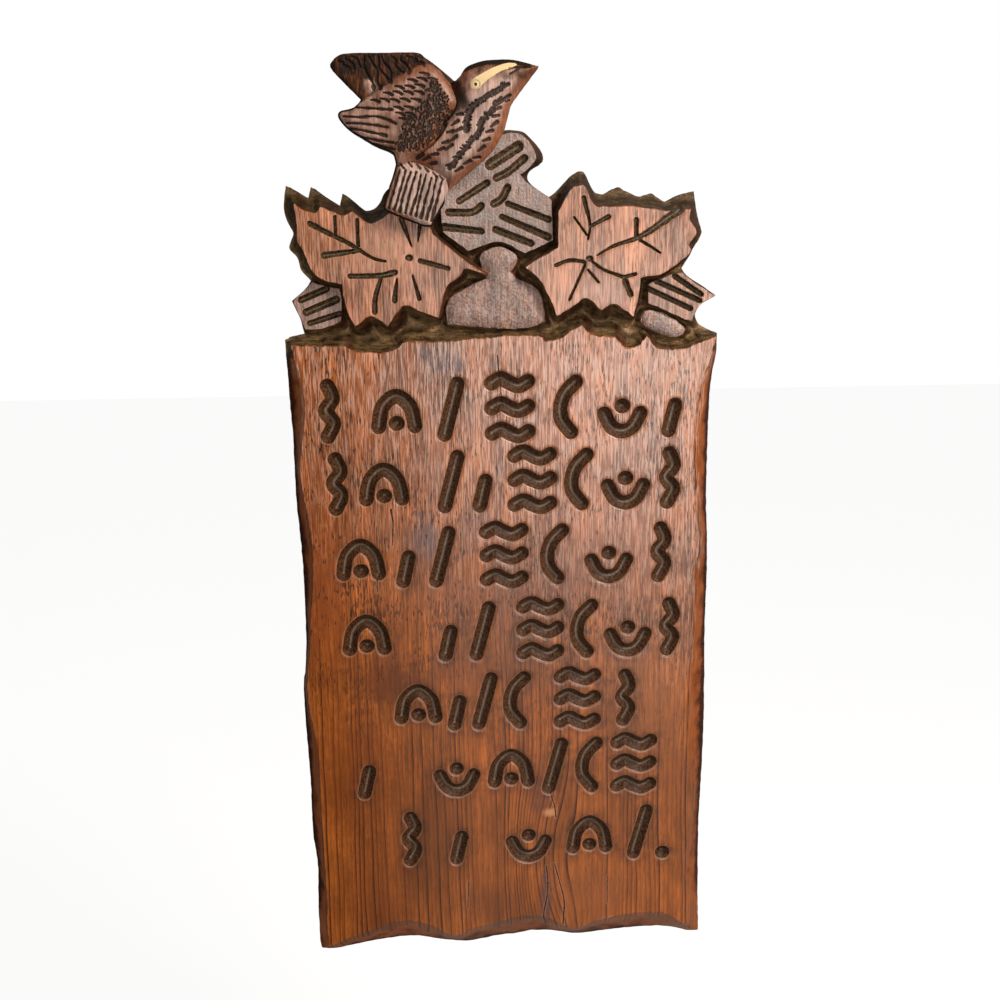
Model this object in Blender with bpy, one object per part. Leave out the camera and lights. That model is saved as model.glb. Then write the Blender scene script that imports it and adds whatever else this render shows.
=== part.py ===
"""A carved wooden wall sign: one plank with a crest of leaves, and a bird glued on the crest.

The sign hangs flat on a wall. X runs to the right along the board, Y runs away from the viewer into the
wall, and Z runs up. The plank's back is the plane Y = 0. The origin is the point of that back where the sign
is fixed, on the board's centre line and 60 mm below the ledge at the top of its panel. Every length here is
in millimetres, and MM turns it into metres. A level is a height above the plane Y = 0, towards the viewer.
"""

import math
from dataclasses import dataclass

import bmesh
import bpy
import numpy as np
from mathutils.geometry import delaunay_2d_cdt

MM = 0.001

# Driving dimensions: a dressed two-by-twelve board, and a thinner one for the bird.
PLANK_THICKNESS = 38
GROUND = 22
CENTRE_LEAF_LEVEL = 31
SIDE_LEAF_LEVEL = 30
MOUND_LEVEL = 32
PEBBLE_LEVEL = 29
GLUE_GAP = 0.3
BIRD_BACK = PLANK_THICKNESS + GLUE_GAP
BIRD_THICKNESS = 18

# How the knife works: the steepest wall it leaves, and the share of a gap that one wall takes.
STEEPEST_WALL = 3.5
WALL_SHARE = 0.55

# The rows of strokes on the panel, cut with a round-nosed bit.
STROKE_WIDTH = 10.5
STROKE_DEPTH = 4.5
ROW_HEIGHT = 44
MARK_GAP = 13

# How finely the outlines and the open ground are faceted.
OUTLINE_PITCH = 9
GROUND_PITCH = 7
MERGE_DISTANCE = 0.01

# A third value that marks a point where the outline turns sharply.
TIP = True

PLANK_EDGE = (
    (-138, 161, TIP), (-130, 156), (-124, 153, TIP), (-122, 160, TIP), (-118, 157), (-111, 152),
    (-104, 148, TIP), (-102, 156, TIP), (-97, 152), (-91, 147), (-87, 145), (-82, 146), (-78, 150),
    (-74, 157), (-62, 166), (-46, 177), (-28, 187), (-10, 193), (4, 194), (13, 193), (17, 191), (23, 185),
    (27, 179), (27, 174), (22, 171), (18, 167), (18, 162), (23, 157), (31, 152, TIP), (37, 156), (47, 166),
    (52, 168), (55, 166), (60, 156), (64, 154), (68, 154), (76, 158), (80, 156), (85, 154), (91, 152),
    (98, 154), (101, 152), (106, 149), (110, 149), (118, 153), (126, 155, TIP), (127, 148), (129, 139),
    (132, 129, TIP), (130, 124), (127, 119), (119, 106, TIP), (124, 100), (132, 95), (142, 88, TIP),
    (138, 86), (132, 82), (129, 76), (131, 70), (135, 67), (144, 63, TIP), (144, 52), (141, 32), (140, 10),
    (140, -47), (142, -91), (142, -149), (143, -196), (143, -246), (142, -286), (142, -327), (144, -388, TIP),
    (136, -388), (126, -385), (110, -383), (84, -384), (64, -386), (50, -387), (34, -384), (18, -383),
    (6, -385), (-7, -386), (-23, -389), (-34, -390), (-50, -388), (-64, -385), (-77, -384), (-96, -386),
    (-114, -389), (-128, -392), (-138, -392), (-142, -387), (-142, -351), (-141, -323), (-143, -296),
    (-143, -250), (-144, -211), (-144, -180), (-141, -159), (-140, -95), (-142, -46), (-142, -2), (-143, 30),
    (-144, 63, TIP), (-131, 66, TIP), (-132, 71), (-133, 77), (-138, 88, TIP), (-128, 96), (-125, 101, TIP),
    (-131, 108), (-133, 116), (-138, 122), (-135, 130), (-136, 134), (-139, 141), (-140, 149),
)

PANEL_FACE = (
    (-138, 60, TIP), (-118, 59), (-104, 59), (-94, 55), (-74, 55), (-63, 61), (-40, 61), (-2, 64), (23, 64),
    (27, 60), (32, 61), (39, 63), (46, 68), (51, 70, TIP), (56, 65), (62, 63), (73, 62), (79, 56), (83, 55),
    (89, 57), (94, 63, TIP), (100, 56), (108, 54), (118, 54), (127, 57), (140, 62, TIP), (136, 46),
    (132, 36), (129, 22), (127, 6), (127, -22), (129, -50), (132, -72), (132, -86), (129, -101), (129, -156),
    (127, -172), (126, -205), (128, -232), (132, -268), (130, -302), (127, -335), (130, -372, TIP),
    (117, -363), (107, -361), (92, -361), (77, -363), (62, -367), (48, -372), (38, -368), (27, -362),
    (12, -360), (-7, -364), (-27, -369), (-38, -374), (-47, -372), (-63, -363), (-76, -361), (-87, -361),
    (-99, -366), (-121, -374), (-132, -378), (-134, -360), (-133, -339), (-134, -266), (-134, -225),
    (-138, -195), (-139, -175), (-136, -148), (-134, -124), (-131, -95), (-131, -66), (-135, -37),
    (-136, -21), (-132, 8), (-131, 27), (-136, 53),
)

LEFT_LEAF = (
    (-131, 149, TIP), (-126, 145), (-118, 143), (-115, 147, TIP), (-106, 143), (-101, 141), (-95, 144, TIP),
    (-86, 137), (-80, 137), (-72, 142), (-60, 150), (-48, 145), (-46, 133, TIP), (-44, 129), (-38, 124),
    (-27, 115), (-22, 111), (-11, 104, TIP), (-24, 108), (-28, 103), (-36, 97), (-39, 89), (-42, 77, TIP),
    (-53, 81), (-58, 84), (-63, 85), (-67, 83), (-75, 72, TIP), (-83, 78), (-88, 78), (-96, 72, TIP),
    (-101, 84), (-103, 99, TIP), (-115, 102), (-122, 108), (-127, 121), (-130, 126), (-130, 135),
)

RIGHT_LEAF = (
    (15, 108, TIP), (21, 112), (36, 120, TIP), (36, 136), (37, 144), (44, 156), (49, 158), (53, 157),
    (59, 146), (67, 145), (82, 145), (98, 143), (107, 142), (121, 143, TIP), (120, 137), (124, 131),
    (124, 127), (120, 121), (121, 116), (107, 105), (99, 102), (89, 101, TIP), (89, 94), (85, 76, TIP),
    (78, 81), (73, 84), (68, 83), (64, 80, TIP), (57, 87), (52, 88), (47, 84), (35, 77, TIP), (32, 85),
    (25, 99), (20, 104),
)

CENTRE_LEAF = (
    (5, 191), (13, 190), (19, 184), (22, 177), (21, 173), (14, 167), (13, 164), (32, 150, TIP),
    (33, 125, TIP), (15, 117, TIP), (9, 120), (1, 124), (-6, 124), (-22, 119, TIP), (-38, 131, TIP),
    (-39, 146, TIP), (-36, 156), (-22, 172), (-6, 186),
)

MOUND = (
    (-2, 121), (4, 119), (9, 116), (10, 112), (5, 105, TIP), (11, 100), (20, 96), (25, 90), (27, 82),
    (28, 73, TIP), (16, 69), (-5, 69), (-36, 72, TIP), (-37, 81), (-34, 89), (-27, 93), (-18, 98),
    (-10, 101, TIP), (-14, 112), (-12, 118),
)

LEFT_SIDE_LEAF = (
    (-136, 88, TIP), (-123, 100, TIP), (-112, 97), (-106, 96, TIP), (-105, 90), (-105, 79),
    (-106, 75, TIP), (-117, 71), (-129, 70, TIP), (-131, 76),
)

RIGHT_SIDE_LEAF = (
    (96, 96, TIP), (113, 103, TIP), (118, 103, TIP), (124, 98), (140, 88, TIP), (131, 83), (127, 77),
    (125, 72, TIP), (118, 74), (106, 80), (96, 84, TIP),
)

PEBBLE = ((92, 74), (96, 79), (104, 78), (114, 73), (121, 66), (115, 61), (102, 65), (94, 69))

# The bird is glued on a patch left at the board's full thickness, which it hides.
BIRD_SEAT = (
    (-58, 148), (-50, 164), (-38, 175), (-24, 185), (-8, 189), (-4, 186), (-16, 175), (-32, 163), (-44, 148),
)

# Each cut is its centre line, its width at the first point and its width at the last.
LEAF_CUTS = (
    (((-122, 137), (-109, 130), (-99, 125), (-91, 120), (-83, 115), (-75, 113)), 3.9, 2.0),
    (((-106, 141), (-106, 130)), 2.4, 2.0),
    (((-92, 139), (-92, 123)), 2.7, 2.7),
    (((-114, 117), (-91, 120)), 4.8, 2.7),
    (((-98, 104), (-79, 104), (-69, 106)), 3.4, 4.1),
    (((-78, 103), (-82, 91), (-83, 81)), 2.7, 4.1),
    (((-68, 102), (-70, 88)), 1.4, 4.1),
    (((-58, 104), (-54, 89)), 1.4, 3.4),
    (((-53, 113), (-35, 108)), 3.4, 3.4),
    (((-64, 139), (-58, 122)), 4.1, 1.0),
    (((-52, 137), (-54, 125)), 3.4, 1.0),
    (((-60.5, 115), (-59.5, 115)), 4.5, 4.5),
    (((52, 151), (56, 135), (55, 125)), 3.4, 1.4),
    (((56, 133), (68, 139)), 2.0, 3.4),
    (((46, 139), (54, 128)), 1.7, 1.7),
    (((55.5, 113), (56.5, 113)), 4.1, 4.1),
    (((61, 115), (72, 121), (85, 125), (95, 130), (105, 137), (114, 143)), 1.4, 6.1),
    (((86, 137), (86, 127)), 3.4, 3.4),
    (((89, 124), (102, 116)), 2.7, 1.4),
    (((34, 109), (43, 112), (53, 111)), 2.7, 2.7),
    (((53, 109), (43, 87)), 2.0, 2.0),
    (((55, 106), (62, 98)), 2.0, 2.0),
    (((58, 111), (65, 106), (78, 101)), 2.0, 2.7),
    (((78, 101), (86, 103)), 2.7, 2.7),
    (((79, 99), (83, 90)), 4.1, 4.1),
)

HATCH_CUTS = (
    (((-7, 172), (11, 183)), 7.5, 7.5),
    (((-3, 164), (5, 168), (15, 176)), 5.4, 5.4),
    (((-27, 150), (-9, 161)), 4.8, 4.8),
    (((-5, 148), (0, 151), (4, 158)), 5.4, 5.4),
    (((-34, 143), (-19, 143), (-13, 147)), 5.1, 5.1),
    (((-37, 134), (-13, 131)), 5.4, 4.4),
    (((4, 148), (30, 138)), 4.0, 4.8),
    (((0, 140), (30, 127)), 4.0, 5.4),
    (((-4, 132), (19, 123)), 5.1, 5.1),
    (((113, 101), (131, 89)), 4.1, 4.1),
    (((101, 98), (130, 85)), 4.1, 4.1),
    (((96, 93), (124, 80)), 4.1, 4.1),
    (((-131, 89), (-114, 96)), 4.8, 4.8),
    (((-128, 81), (-108, 89)), 5.4, 5.4),
    (((-126, 74), (-106, 80)), 4.1, 4.1),
)

VEIN_DEPTH = 2.2
HATCH_DEPTH = 3.0
FEATHER_DEPTH = 1.2

# The marks stand for writing without being any. Each is a few strokes, whose centre lines start at the row's
# foot and at the mark's left, and reach TALL or only LOW.
TALL = ROW_HEIGHT - STROKE_WIDTH
LOW = 17
FLAME = (((2, 0), (6, 9), (1, 17), (6, 25), (3, TALL)),)
LEANING = (((0, 0), (9, TALL)),)
CRESCENT = (((7, 0), (1, 8), (0, 17), (3, 26), (10, TALL)),)
RIPPLES = tuple(((0, z), (6, z + 3), (12, z), (18, z - 2), (24, z + 1)) for z in (0, LOW, TALL))
SUNRISE = (((0, 6), (3, 19), (12, 26), (21, 19), (24, 6)), ((11.6, 8), (12.4, 8)))
BOWL = (((0, 12), (5, 3), (12, 0), (19, 3), (24, 12)), ((11.6, LOW), (12.4, LOW)))
STUB = (((0, 0), (4, LOW)),)
MARKS = (FLAME, SUNRISE, LEANING, RIPPLES, CRESCENT, BOWL, STUB)

# The top of each row and the left and right ends of its groups of marks.
ROWS = (
    (39, ((-124, -54), (-45, 21), (32, 119))),
    (-10, ((-121, -64), (-46, -8), (1, 119))),
    (-62, ((-116, -61), (-53, 16), (23, 114))),
    (-116, ((-114, -68), (-48, -7), (6, 121))),
    (-168, ((-80, 17), (32, 91))),
    (-219, ((-108, -81), (-54, 107))),
    (-273, ((-79, -29), (-3, 105))),
)
CLOSING_DOT = (112, -312)

BIRD_EDGE = (
    (-66, 172, TIP), (-68, 178), (-77, 182), (-86, 187), (-95, 193), (-100, 199), (-99, 203), (-91, 205),
    (-86, 210, TIP), (-99, 223), (-104, 229), (-103, 232), (-98, 236), (-88, 237), (-73, 237), (-52, 237),
    (-46, 234), (-39, 229), (-28, 220, TIP), (-25, 223), (-21, 228), (-13, 231), (-5, 232), (6, 232),
    (16, 230), (23, 228, TIP), (11, 213), (6, 206), (3, 196), (0, 188), (-7, 178), (-16, 170), (-25, 163),
    (-34, 155), (-36, 149), (-42, 139), (-45, 134), (-49, 134), (-60, 138), (-73, 144), (-74, 148),
    (-71, 157), (-67, 168),
)

FAR_WING = (
    (-86, 208, TIP), (-99, 222), (-104, 229), (-103, 232), (-98, 236), (-88, 237), (-73, 237), (-52, 237),
    (-46, 234), (-39, 229), (-28, 220, TIP), (-40, 205, TIP),
)

NEAR_WING = (
    (-64, 172, TIP), (-68, 178), (-77, 182), (-86, 187), (-95, 193), (-100, 199), (-99, 203), (-91, 205),
    (-82, 210), (-64, 221), (-54, 226), (-44, 228), (-35, 220), (-28, 208), (-31, 201), (-37, 195),
    (-41, 186), (-47, 181), (-56, 176),
)

TAIL = (
    (-65, 172, TIP), (-67, 168), (-71, 157), (-74, 148), (-73, 144), (-60, 138), (-49, 134), (-45, 134),
    (-42, 139), (-36, 149), (-34, 155), (-35, 163, TIP), (-44, 168), (-54, 172),
)

BODY = (
    (-66, 172, TIP), (-44, 190, TIP), (-28, 220, TIP), (-25, 223), (-21, 228), (-13, 231), (-5, 232),
    (6, 232), (16, 230), (23, 228, TIP), (11, 213), (6, 206), (3, 196), (0, 188), (-7, 178), (-16, 170),
    (-25, 163), (-34, 155, TIP), (-37, 163), (-46, 169), (-56, 173),
)

FEATHER_CUTS = (
    (((-90, 205), (-79, 204), (-67, 203)), 2.0, 2.0),
    (((-97, 200), (-88, 199), (-75, 199), (-65, 195)), 2.0, 2.0),
    (((-95, 196), (-82, 195), (-70, 193)), 2.0, 2.0),
    (((-93, 193), (-83, 191), (-71, 188)), 2.0, 2.0),
    (((-87, 188), (-74, 185), (-67, 184)), 2.0, 2.0),
    (((-60, 170), (-67, 157), (-70, 145)), 2.0, 2.0),
    (((-54, 169), (-62, 155), (-66, 144)), 2.0, 2.0),
    (((-49, 167), (-57, 154), (-62, 141)), 2.0, 2.0),
    (((-44, 164), (-52, 152), (-58, 140)), 2.0, 2.0),
    (((-40, 162), (-47, 150), (-53, 138)), 2.0, 2.0),
    (((-38, 154), (-43, 146), (-48, 137)), 2.0, 2.0),
    (((3, 215), (-7, 211), (-17, 204), (-21, 198), (-22, 191)), 2.4, 2.4),
    (((5, 213), (-5, 207), (-12, 198), (-17, 188), (-26, 179), (-34, 169)), 2.4, 2.4),
)


@dataclass(frozen=True)
class Form:
    """One raised form of the relief: its face, and how that face rounds over and falls away."""

    outline: tuple
    level: float
    widest_wall: float = 10
    crown: float = 0
    shoulder: float = 8
    low_at: tuple = None
    low_by: float = 0
    low_over: float = 1


@dataclass(frozen=True)
class Cut:
    """One groove: a line with round ends, whose width changes evenly from end to end."""

    path: tuple
    first_width: float
    last_width: float
    depth: float


def linear(colour):
    """The linear RGBA of an sRGB hex colour."""
    parts = [int(colour[i:i + 2], 16) / 255 for i in (1, 3, 5)]
    return [p / 12.92 if p < 0.04045 else ((p + 0.055) / 1.055) ** 2.4 for p in parts] + [1.0]


def wood(name, colour, roughness):
    """A stained and varnished wood of one colour."""
    material = bpy.data.materials.new(name)
    material.use_nodes = True
    shader = material.node_tree.nodes["Principled BSDF"]
    shader.inputs["Base Color"].default_value = linear(colour)
    shader.inputs["Roughness"].default_value = roughness
    shader.inputs["Metallic"].default_value = 0.0
    return material


def flowing(points, pitch, closed=True):
    """Places at most pitch apart on a curve through the points, which turns sharply at each TIP."""
    places = [np.array(point[:2], float) for point in points]
    sharp = [len(point) > 2 for point in points]
    count = len(places)
    line = []
    for i in range(count if closed else count - 1):
        start, end = places[i], places[(i + 1) % count]
        open_start = not closed and i == 0
        open_end = not closed and i == count - 2
        before = start if sharp[i] or open_start else places[i - 1]
        after = end if sharp[(i + 1) % count] or open_end else places[(i + 2) % count]
        leave, arrive = (end - before) / 2, (after - start) / 2
        steps = math.ceil(np.linalg.norm(end - start) / pitch)
        for t in np.arange(steps) / steps:
            line.append(
                (2 * t**3 - 3 * t**2 + 1) * start + (t**3 - 2 * t**2 + t) * leave
                + (3 * t**2 - 2 * t**3) * end + (t**3 - t**2) * arrive
            )
    if not closed:
        line.append(places[-1])
    return np.array(line)


def nearest(points, line, closed=True):
    """Each point's distance from the line, and the share of the line's length at its nearest place."""
    starts = line if closed else line[:-1]
    ends = np.roll(line, -1, axis=0) if closed else line[1:]
    along = ends - starts
    lengths = np.maximum(np.linalg.norm(along, axis=1), 1e-9)
    from_start = points[:, None, :] - starts[None, :, :]
    share = np.clip((from_start * along).sum(axis=2) / lengths**2, 0, 1)
    gaps = np.linalg.norm(from_start - share[:, :, None] * along, axis=2)
    which = gaps.argmin(axis=1)
    rows = np.arange(len(points))
    before = np.concatenate([[0], np.cumsum(lengths)[:-1]])
    return gaps[rows, which], (before[which] + share[rows, which] * lengths[which]) / lengths.sum()


def inside(points, loop):
    """Whether each point lies inside the closed loop."""
    x, z = points[:, :1], points[:, 1:]
    x0, z0 = loop[:, 0], loop[:, 1]
    x1, z1 = np.roll(x0, -1), np.roll(z0, -1)
    spans = (z0 > z) != (z1 > z)
    rise = np.where(z1 == z0, 1, z1 - z0)
    return (spans & (x < (x1 - x0) * (z - z0) / rise + x0)).sum(axis=1) % 2 == 1


def face_level(form, loop, points):
    """The form's own height at each point, with its crown and its slope, but no wall."""
    gap = nearest(points, loop)[0]
    over = np.clip(1 - gap / form.shoulder, 0, 1) ** 2
    level = form.level - form.crown * np.where(inside(points, loop), over, 1)
    if form.low_at is not None:
        far = np.linalg.norm(points - np.array(form.low_at, float), axis=1)
        level = level - form.low_by * np.clip(1 - far / form.low_over, 0, 1)
    return level


def relief(points, forms, edge, ground):
    """The level of the carving at each point: every form, and the walls that fall from it to the ground."""
    loops = [flowing(form.outline, OUTLINE_PITCH) for form in forms]
    away = [np.where(inside(points, loop), 0, nearest(points, loop)[0]) for loop in loops]
    to_edge = nearest(points, edge)[0]
    level = np.full(len(points), float(ground))
    for i, (form, loop) in enumerate(zip(forms, loops)):
        top = face_level(form, loop, points)
        others = [gap for j, gap in enumerate(away) if j != i]
        room = np.minimum(away[i] + to_edge, WALL_SHARE * (away[i] + np.minimum.reduce(others)))
        run = np.clip(room, (top - ground) / STEEPEST_WALL, form.widest_wall)
        level = np.maximum(level, ground + (top - ground) * np.clip(1 - away[i] / run, 0, 1))
    return level


def carve(points, level, cuts):
    """The level after each cut has taken its round-bottomed groove out of it."""
    lowered = np.zeros(len(points))
    for cut in cuts:
        gap, share = nearest(points, np.array(cut.path, float), closed=False)
        half = (cut.first_width + share * (cut.last_width - cut.first_width)) / 2
        lowered = np.maximum(lowered, cut.depth * np.clip(1 - gap / half, 0, 1))
    return level - lowered


def rim(cut):
    """The closed line where a cut meets the surface: its two sides, and an arc round each end."""
    path = np.array(cut.path, float)
    along = np.gradient(path, axis=0)
    along /= np.linalg.norm(along, axis=1)[:, None]
    gone = np.concatenate([[0], np.cumsum(np.linalg.norm(np.diff(path, axis=0), axis=1))])
    half = (cut.first_width + gone / gone[-1] * (cut.last_width - cut.first_width)) / 2
    side = np.stack([-along[:, 1], along[:, 0]], axis=1) * half[:, None]
    arc = 3 if max(cut.first_width, cut.last_width) > 4 else 2
    turns = np.arange(1, arc) * math.pi / arc
    ends = []
    for place, across in ((path[-1], side[-1]), (path[0], -side[0])):
        ahead = np.array([across[1], -across[0]])
        ends.append([place + across * math.cos(turn) + ahead * math.sin(turn) for turn in turns])
    return np.concatenate([path + side, ends[0], (path - side)[::-1], ends[1]])


def ground_points(edge, loops):
    """A grid of points over the ground that the walls leave between the forms of the crest."""
    low, high = edge.min(axis=0), edge.max(axis=0)
    low[1] = max(low[1], PANEL_FACE[0][1] - GROUND_PITCH)
    xs = np.arange(low[0], high[0], GROUND_PITCH)
    zs = np.arange(low[1], high[1], GROUND_PITCH)
    grid = np.array([(x + (row % 2) * GROUND_PITCH / 2, z) for row, z in enumerate(zs) for x in xs])
    grid = grid[inside(grid, edge) & (nearest(grid, edge)[0] > GROUND_PITCH / 4)]
    for loop in loops:
        grid = grid[~inside(grid, loop) & (nearest(grid, loop)[0] > GROUND_PITCH / 4)]
    return grid


def shoulder_points(form, loop):
    """Points inside the loop where the form's rounded shoulder ends and halfway down it."""
    along = np.roll(loop, -1, axis=0) - np.roll(loop, 1, axis=0)
    along /= np.linalg.norm(along, axis=1)[:, None]
    across = np.stack([-along[:, 1], along[:, 0]], axis=1)
    if not inside(loop + across * 0.1, loop).mean() > 0.5:
        across = -across
    found = []
    for depth in (form.shoulder / 2, form.shoulder):
        points = loop + across * depth
        found.append(points[inside(points, loop) & (nearest(points, loop)[0] > 0.9 * depth)])
    return np.concatenate(found)


def slab(name, edge, loops, cuts, loose, level_at, back, material):
    """A board with a flat back at one level, and a front that follows level_at and creases at each line."""
    points = []
    edges = []

    def add(line, closed):
        first = len(points)
        points.extend(line)
        edges.extend((first + i, first + i + 1) for i in range(len(line) - 1))
        if closed:
            edges.append((first + len(line) - 1, first))

    add(edge, True)
    for loop in loops:
        add(loop, True)
    for cut in cuts:
        add(rim(cut), True)
        add(np.array(cut.path, float), False)
    points.extend(loose)
    places, _, faces, _, _, _ = delaunay_2d_cdt([tuple(p) for p in points], edges, [], 0, MERGE_DISTANCE)
    places = np.array([tuple(place) for place in places])
    middles = np.array([places[list(face)].mean(axis=0) for face in faces])
    levels = level_at(places)

    shape = bmesh.new()
    corners = [shape.verts.new((x * MM, -y * MM, z * MM)) for (x, z), y in zip(places, levels)]
    for face, kept in zip(faces, inside(middles, edge)):
        if kept:
            shape.faces.new([corners[i] for i in face])
    bmesh.ops.delete(shape, geom=[v for v in shape.verts if not v.link_faces], context="VERTS")
    border = [e for e in shape.edges if e.is_boundary]
    side = bmesh.ops.extrude_edge_only(shape, edges=border)["geom"]
    for corner in side:
        if isinstance(corner, bmesh.types.BMVert):
            corner.co.y = -back * MM
    bmesh.ops.holes_fill(shape, edges=[e for e in shape.edges if e.is_boundary], sides=0)
    bmesh.ops.triangulate(shape, faces=shape.faces[:])
    bmesh.ops.recalc_face_normals(shape, faces=shape.faces[:])
    mesh = bpy.data.meshes.new(name)
    shape.to_mesh(mesh)
    shape.free()
    mesh.materials.append(material)
    body = bpy.data.objects.new(name, mesh)
    bpy.context.scene.collection.objects.link(body)
    return body


def span(mark):
    """How far a mark's centre lines reach to the right of its left end."""
    return max(x for stroke in mark for x, _ in stroke)


def fill(width, queue):
    """Marks from the queue until none fits what is left of the width, and the even gap between them."""
    group = []
    room = width - STROKE_WIDTH + MARK_GAP
    while fitting := [mark for mark in queue if span(mark) + MARK_GAP <= room]:
        group.append(fitting[0])
        queue.remove(fitting[0])
        queue.append(fitting[0])
        room -= span(fitting[0]) + MARK_GAP
    return group, MARK_GAP + room / max(1, len(group) - 1)


def row_cuts():
    """The strokes of every row, group by group."""
    queue = list(MARKS)
    cuts = []
    for top, groups in ROWS:
        foot = top - TALL - STROKE_WIDTH / 2
        for left, right in groups:
            x = left + STROKE_WIDTH / 2
            marks, gap = fill(right - left, queue)
            for mark in marks:
                for stroke in mark:
                    placed = [(x + across, foot + rise) for across, rise in stroke]
                    path = flowing(placed, STROKE_WIDTH, closed=False)
                    cuts.append(Cut(tuple(map(tuple, path)), STROKE_WIDTH, STROKE_WIDTH, STROKE_DEPTH))
                x += span(mark) + gap
    x, z = CLOSING_DOT
    cuts.append(Cut(((x - 0.4, z), (x + 0.4, z)), STROKE_WIDTH, STROKE_WIDTH, STROKE_DEPTH))
    return cuts


def carved_plank():
    """The plank: its panel, the leaves, the mound and the pebble, with every groove."""
    forms = (
        Form(PANEL_FACE, PLANK_THICKNESS, widest_wall=30),
        Form(LEFT_LEAF, PLANK_THICKNESS),
        Form(RIGHT_LEAF, PLANK_THICKNESS),
        Form(CENTRE_LEAF, CENTRE_LEAF_LEVEL),
        Form(MOUND, MOUND_LEVEL, crown=3, shoulder=10),
        Form(LEFT_SIDE_LEAF, SIDE_LEAF_LEVEL),
        Form(RIGHT_SIDE_LEAF, SIDE_LEAF_LEVEL),
        Form(PEBBLE, PEBBLE_LEVEL, crown=2, shoulder=5),
        Form(BIRD_SEAT, PLANK_THICKNESS),
    )
    cuts = row_cuts()
    cuts += [Cut(*cut, VEIN_DEPTH) for cut in LEAF_CUTS]
    cuts += [Cut(*cut, HATCH_DEPTH) for cut in HATCH_CUTS]
    edge = flowing(PLANK_EDGE, OUTLINE_PITCH)
    loops = [flowing(form.outline, OUTLINE_PITCH) for form in forms]
    rounded = [shoulder_points(form, loop) for form, loop in zip(forms, loops) if form.crown]
    loose = np.concatenate([ground_points(edge, loops), *rounded])

    def level_at(points):
        return carve(points, relief(points, forms, edge, GROUND), cuts)

    stained = wood("stained_pine", "#8A4F32", 0.45)
    return slab("carved_plank", edge, loops, cuts, loose, level_at, 0, stained)


def bird():
    """The bird: head and body, the wing in front, the tail, and the far wing set back behind them."""
    top = BIRD_BACK + BIRD_THICKNESS
    forms = (
        Form(BODY, top - 1, widest_wall=3, crown=7, shoulder=11, low_at=(-50, 160), low_by=5, low_over=60),
        Form(NEAR_WING, top, widest_wall=3, crown=3, shoulder=6, low_at=(-104, 198), low_by=7, low_over=60),
        Form(TAIL, top - 6, widest_wall=3, crown=3, shoulder=5, low_at=(-60, 134), low_by=3, low_over=40),
        Form(FAR_WING, top - 10, widest_wall=3, crown=2, shoulder=4),
    )
    cuts = [Cut(*cut, FEATHER_DEPTH) for cut in FEATHER_CUTS]
    edge = flowing(BIRD_EDGE, OUTLINE_PITCH)
    loops = [flowing(form.outline, OUTLINE_PITCH) for form in forms]
    loose = np.concatenate([shoulder_points(form, loop) for form, loop in zip(forms, loops)])
    loose = loose[inside(loose, edge) & (nearest(loose, edge)[0] > 1)]

    def level_at(points):
        return carve(points, relief(points, forms, edge, BIRD_BACK + 4), cuts)

    stained = wood("stained_bird_wood", "#9A6244", 0.4)
    wing = next(i for i, form in enumerate(forms) if form.outline is NEAR_WING)
    return slab("bird", edge, [loops[wing]], cuts, loose, level_at, BIRD_BACK, stained)


def main():
    for item in list(bpy.data.objects):
        bpy.data.objects.remove(item, do_unlink=True)
    carved_plank()
    bird()


main()
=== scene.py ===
"""The looks of a carved wooden wall sign: a stained pine plank with a carved crest, and a glued-on bird.

The plank's back is the plane Y = 0 and its carved front faces -Y. Lengths in this file are in millimetres
and MM turns them into metres. A level is a height above the plane Y = 0, towards the viewer. Each piece is
drawn flat, as lines in X and Z, triangulated along those lines, raised to its level, and then worked by a
Geometry Nodes gouge that follows the lines of its cuts.
"""

import logging
import math
from dataclasses import dataclass, field

import bpy
import numpy as np
from bpy.types import ID, Material, Mesh, Node, NodeSocket, NodeTree, Object
from mathutils import Matrix, Vector, kdtree, noise
from mathutils.geometry import delaunay_2d_cdt, tessellate_polygon


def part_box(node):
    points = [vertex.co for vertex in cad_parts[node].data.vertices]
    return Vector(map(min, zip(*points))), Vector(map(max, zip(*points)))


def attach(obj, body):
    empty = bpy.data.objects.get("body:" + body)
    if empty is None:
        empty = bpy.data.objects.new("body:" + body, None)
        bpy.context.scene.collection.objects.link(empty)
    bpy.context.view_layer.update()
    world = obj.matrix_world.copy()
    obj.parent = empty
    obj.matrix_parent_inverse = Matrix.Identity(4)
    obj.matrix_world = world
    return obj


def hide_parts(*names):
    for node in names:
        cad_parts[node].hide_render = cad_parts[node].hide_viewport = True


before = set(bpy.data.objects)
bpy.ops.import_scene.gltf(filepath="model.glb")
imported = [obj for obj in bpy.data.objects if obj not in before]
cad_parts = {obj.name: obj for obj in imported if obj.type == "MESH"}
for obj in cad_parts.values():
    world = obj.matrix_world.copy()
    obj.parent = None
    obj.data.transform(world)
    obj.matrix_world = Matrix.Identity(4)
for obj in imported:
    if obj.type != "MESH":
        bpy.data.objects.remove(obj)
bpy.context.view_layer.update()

log = logging.getLogger("sign")

MM = 0.001

# Driving dimensions, the same as the solids have.
PLANK_THICKNESS = 38
GROUND = 22
CENTRE_LEAF_LEVEL = 31
SIDE_LEAF_LEVEL = 30
MOUND_LEVEL = 32
PEBBLE_LEVEL = 29
BIRD_BACK = 38.3
BIRD_TOP = 56.3
BIRD_GROUND = 42.3
STEEPEST_WALL = 3.5
WALL_SHARE = 0.55
STROKE_WIDTH = 10.5
STROKE_DEPTH = 4.5
ROW_HEIGHT = 44
MARK_GAP = 13
MERGE_DISTANCE = 0.01

# The height up the board where the crest starts.
CREST_FOOT = 52

# A third value that marks a point where the outline turns sharply.
TIP = True

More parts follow.
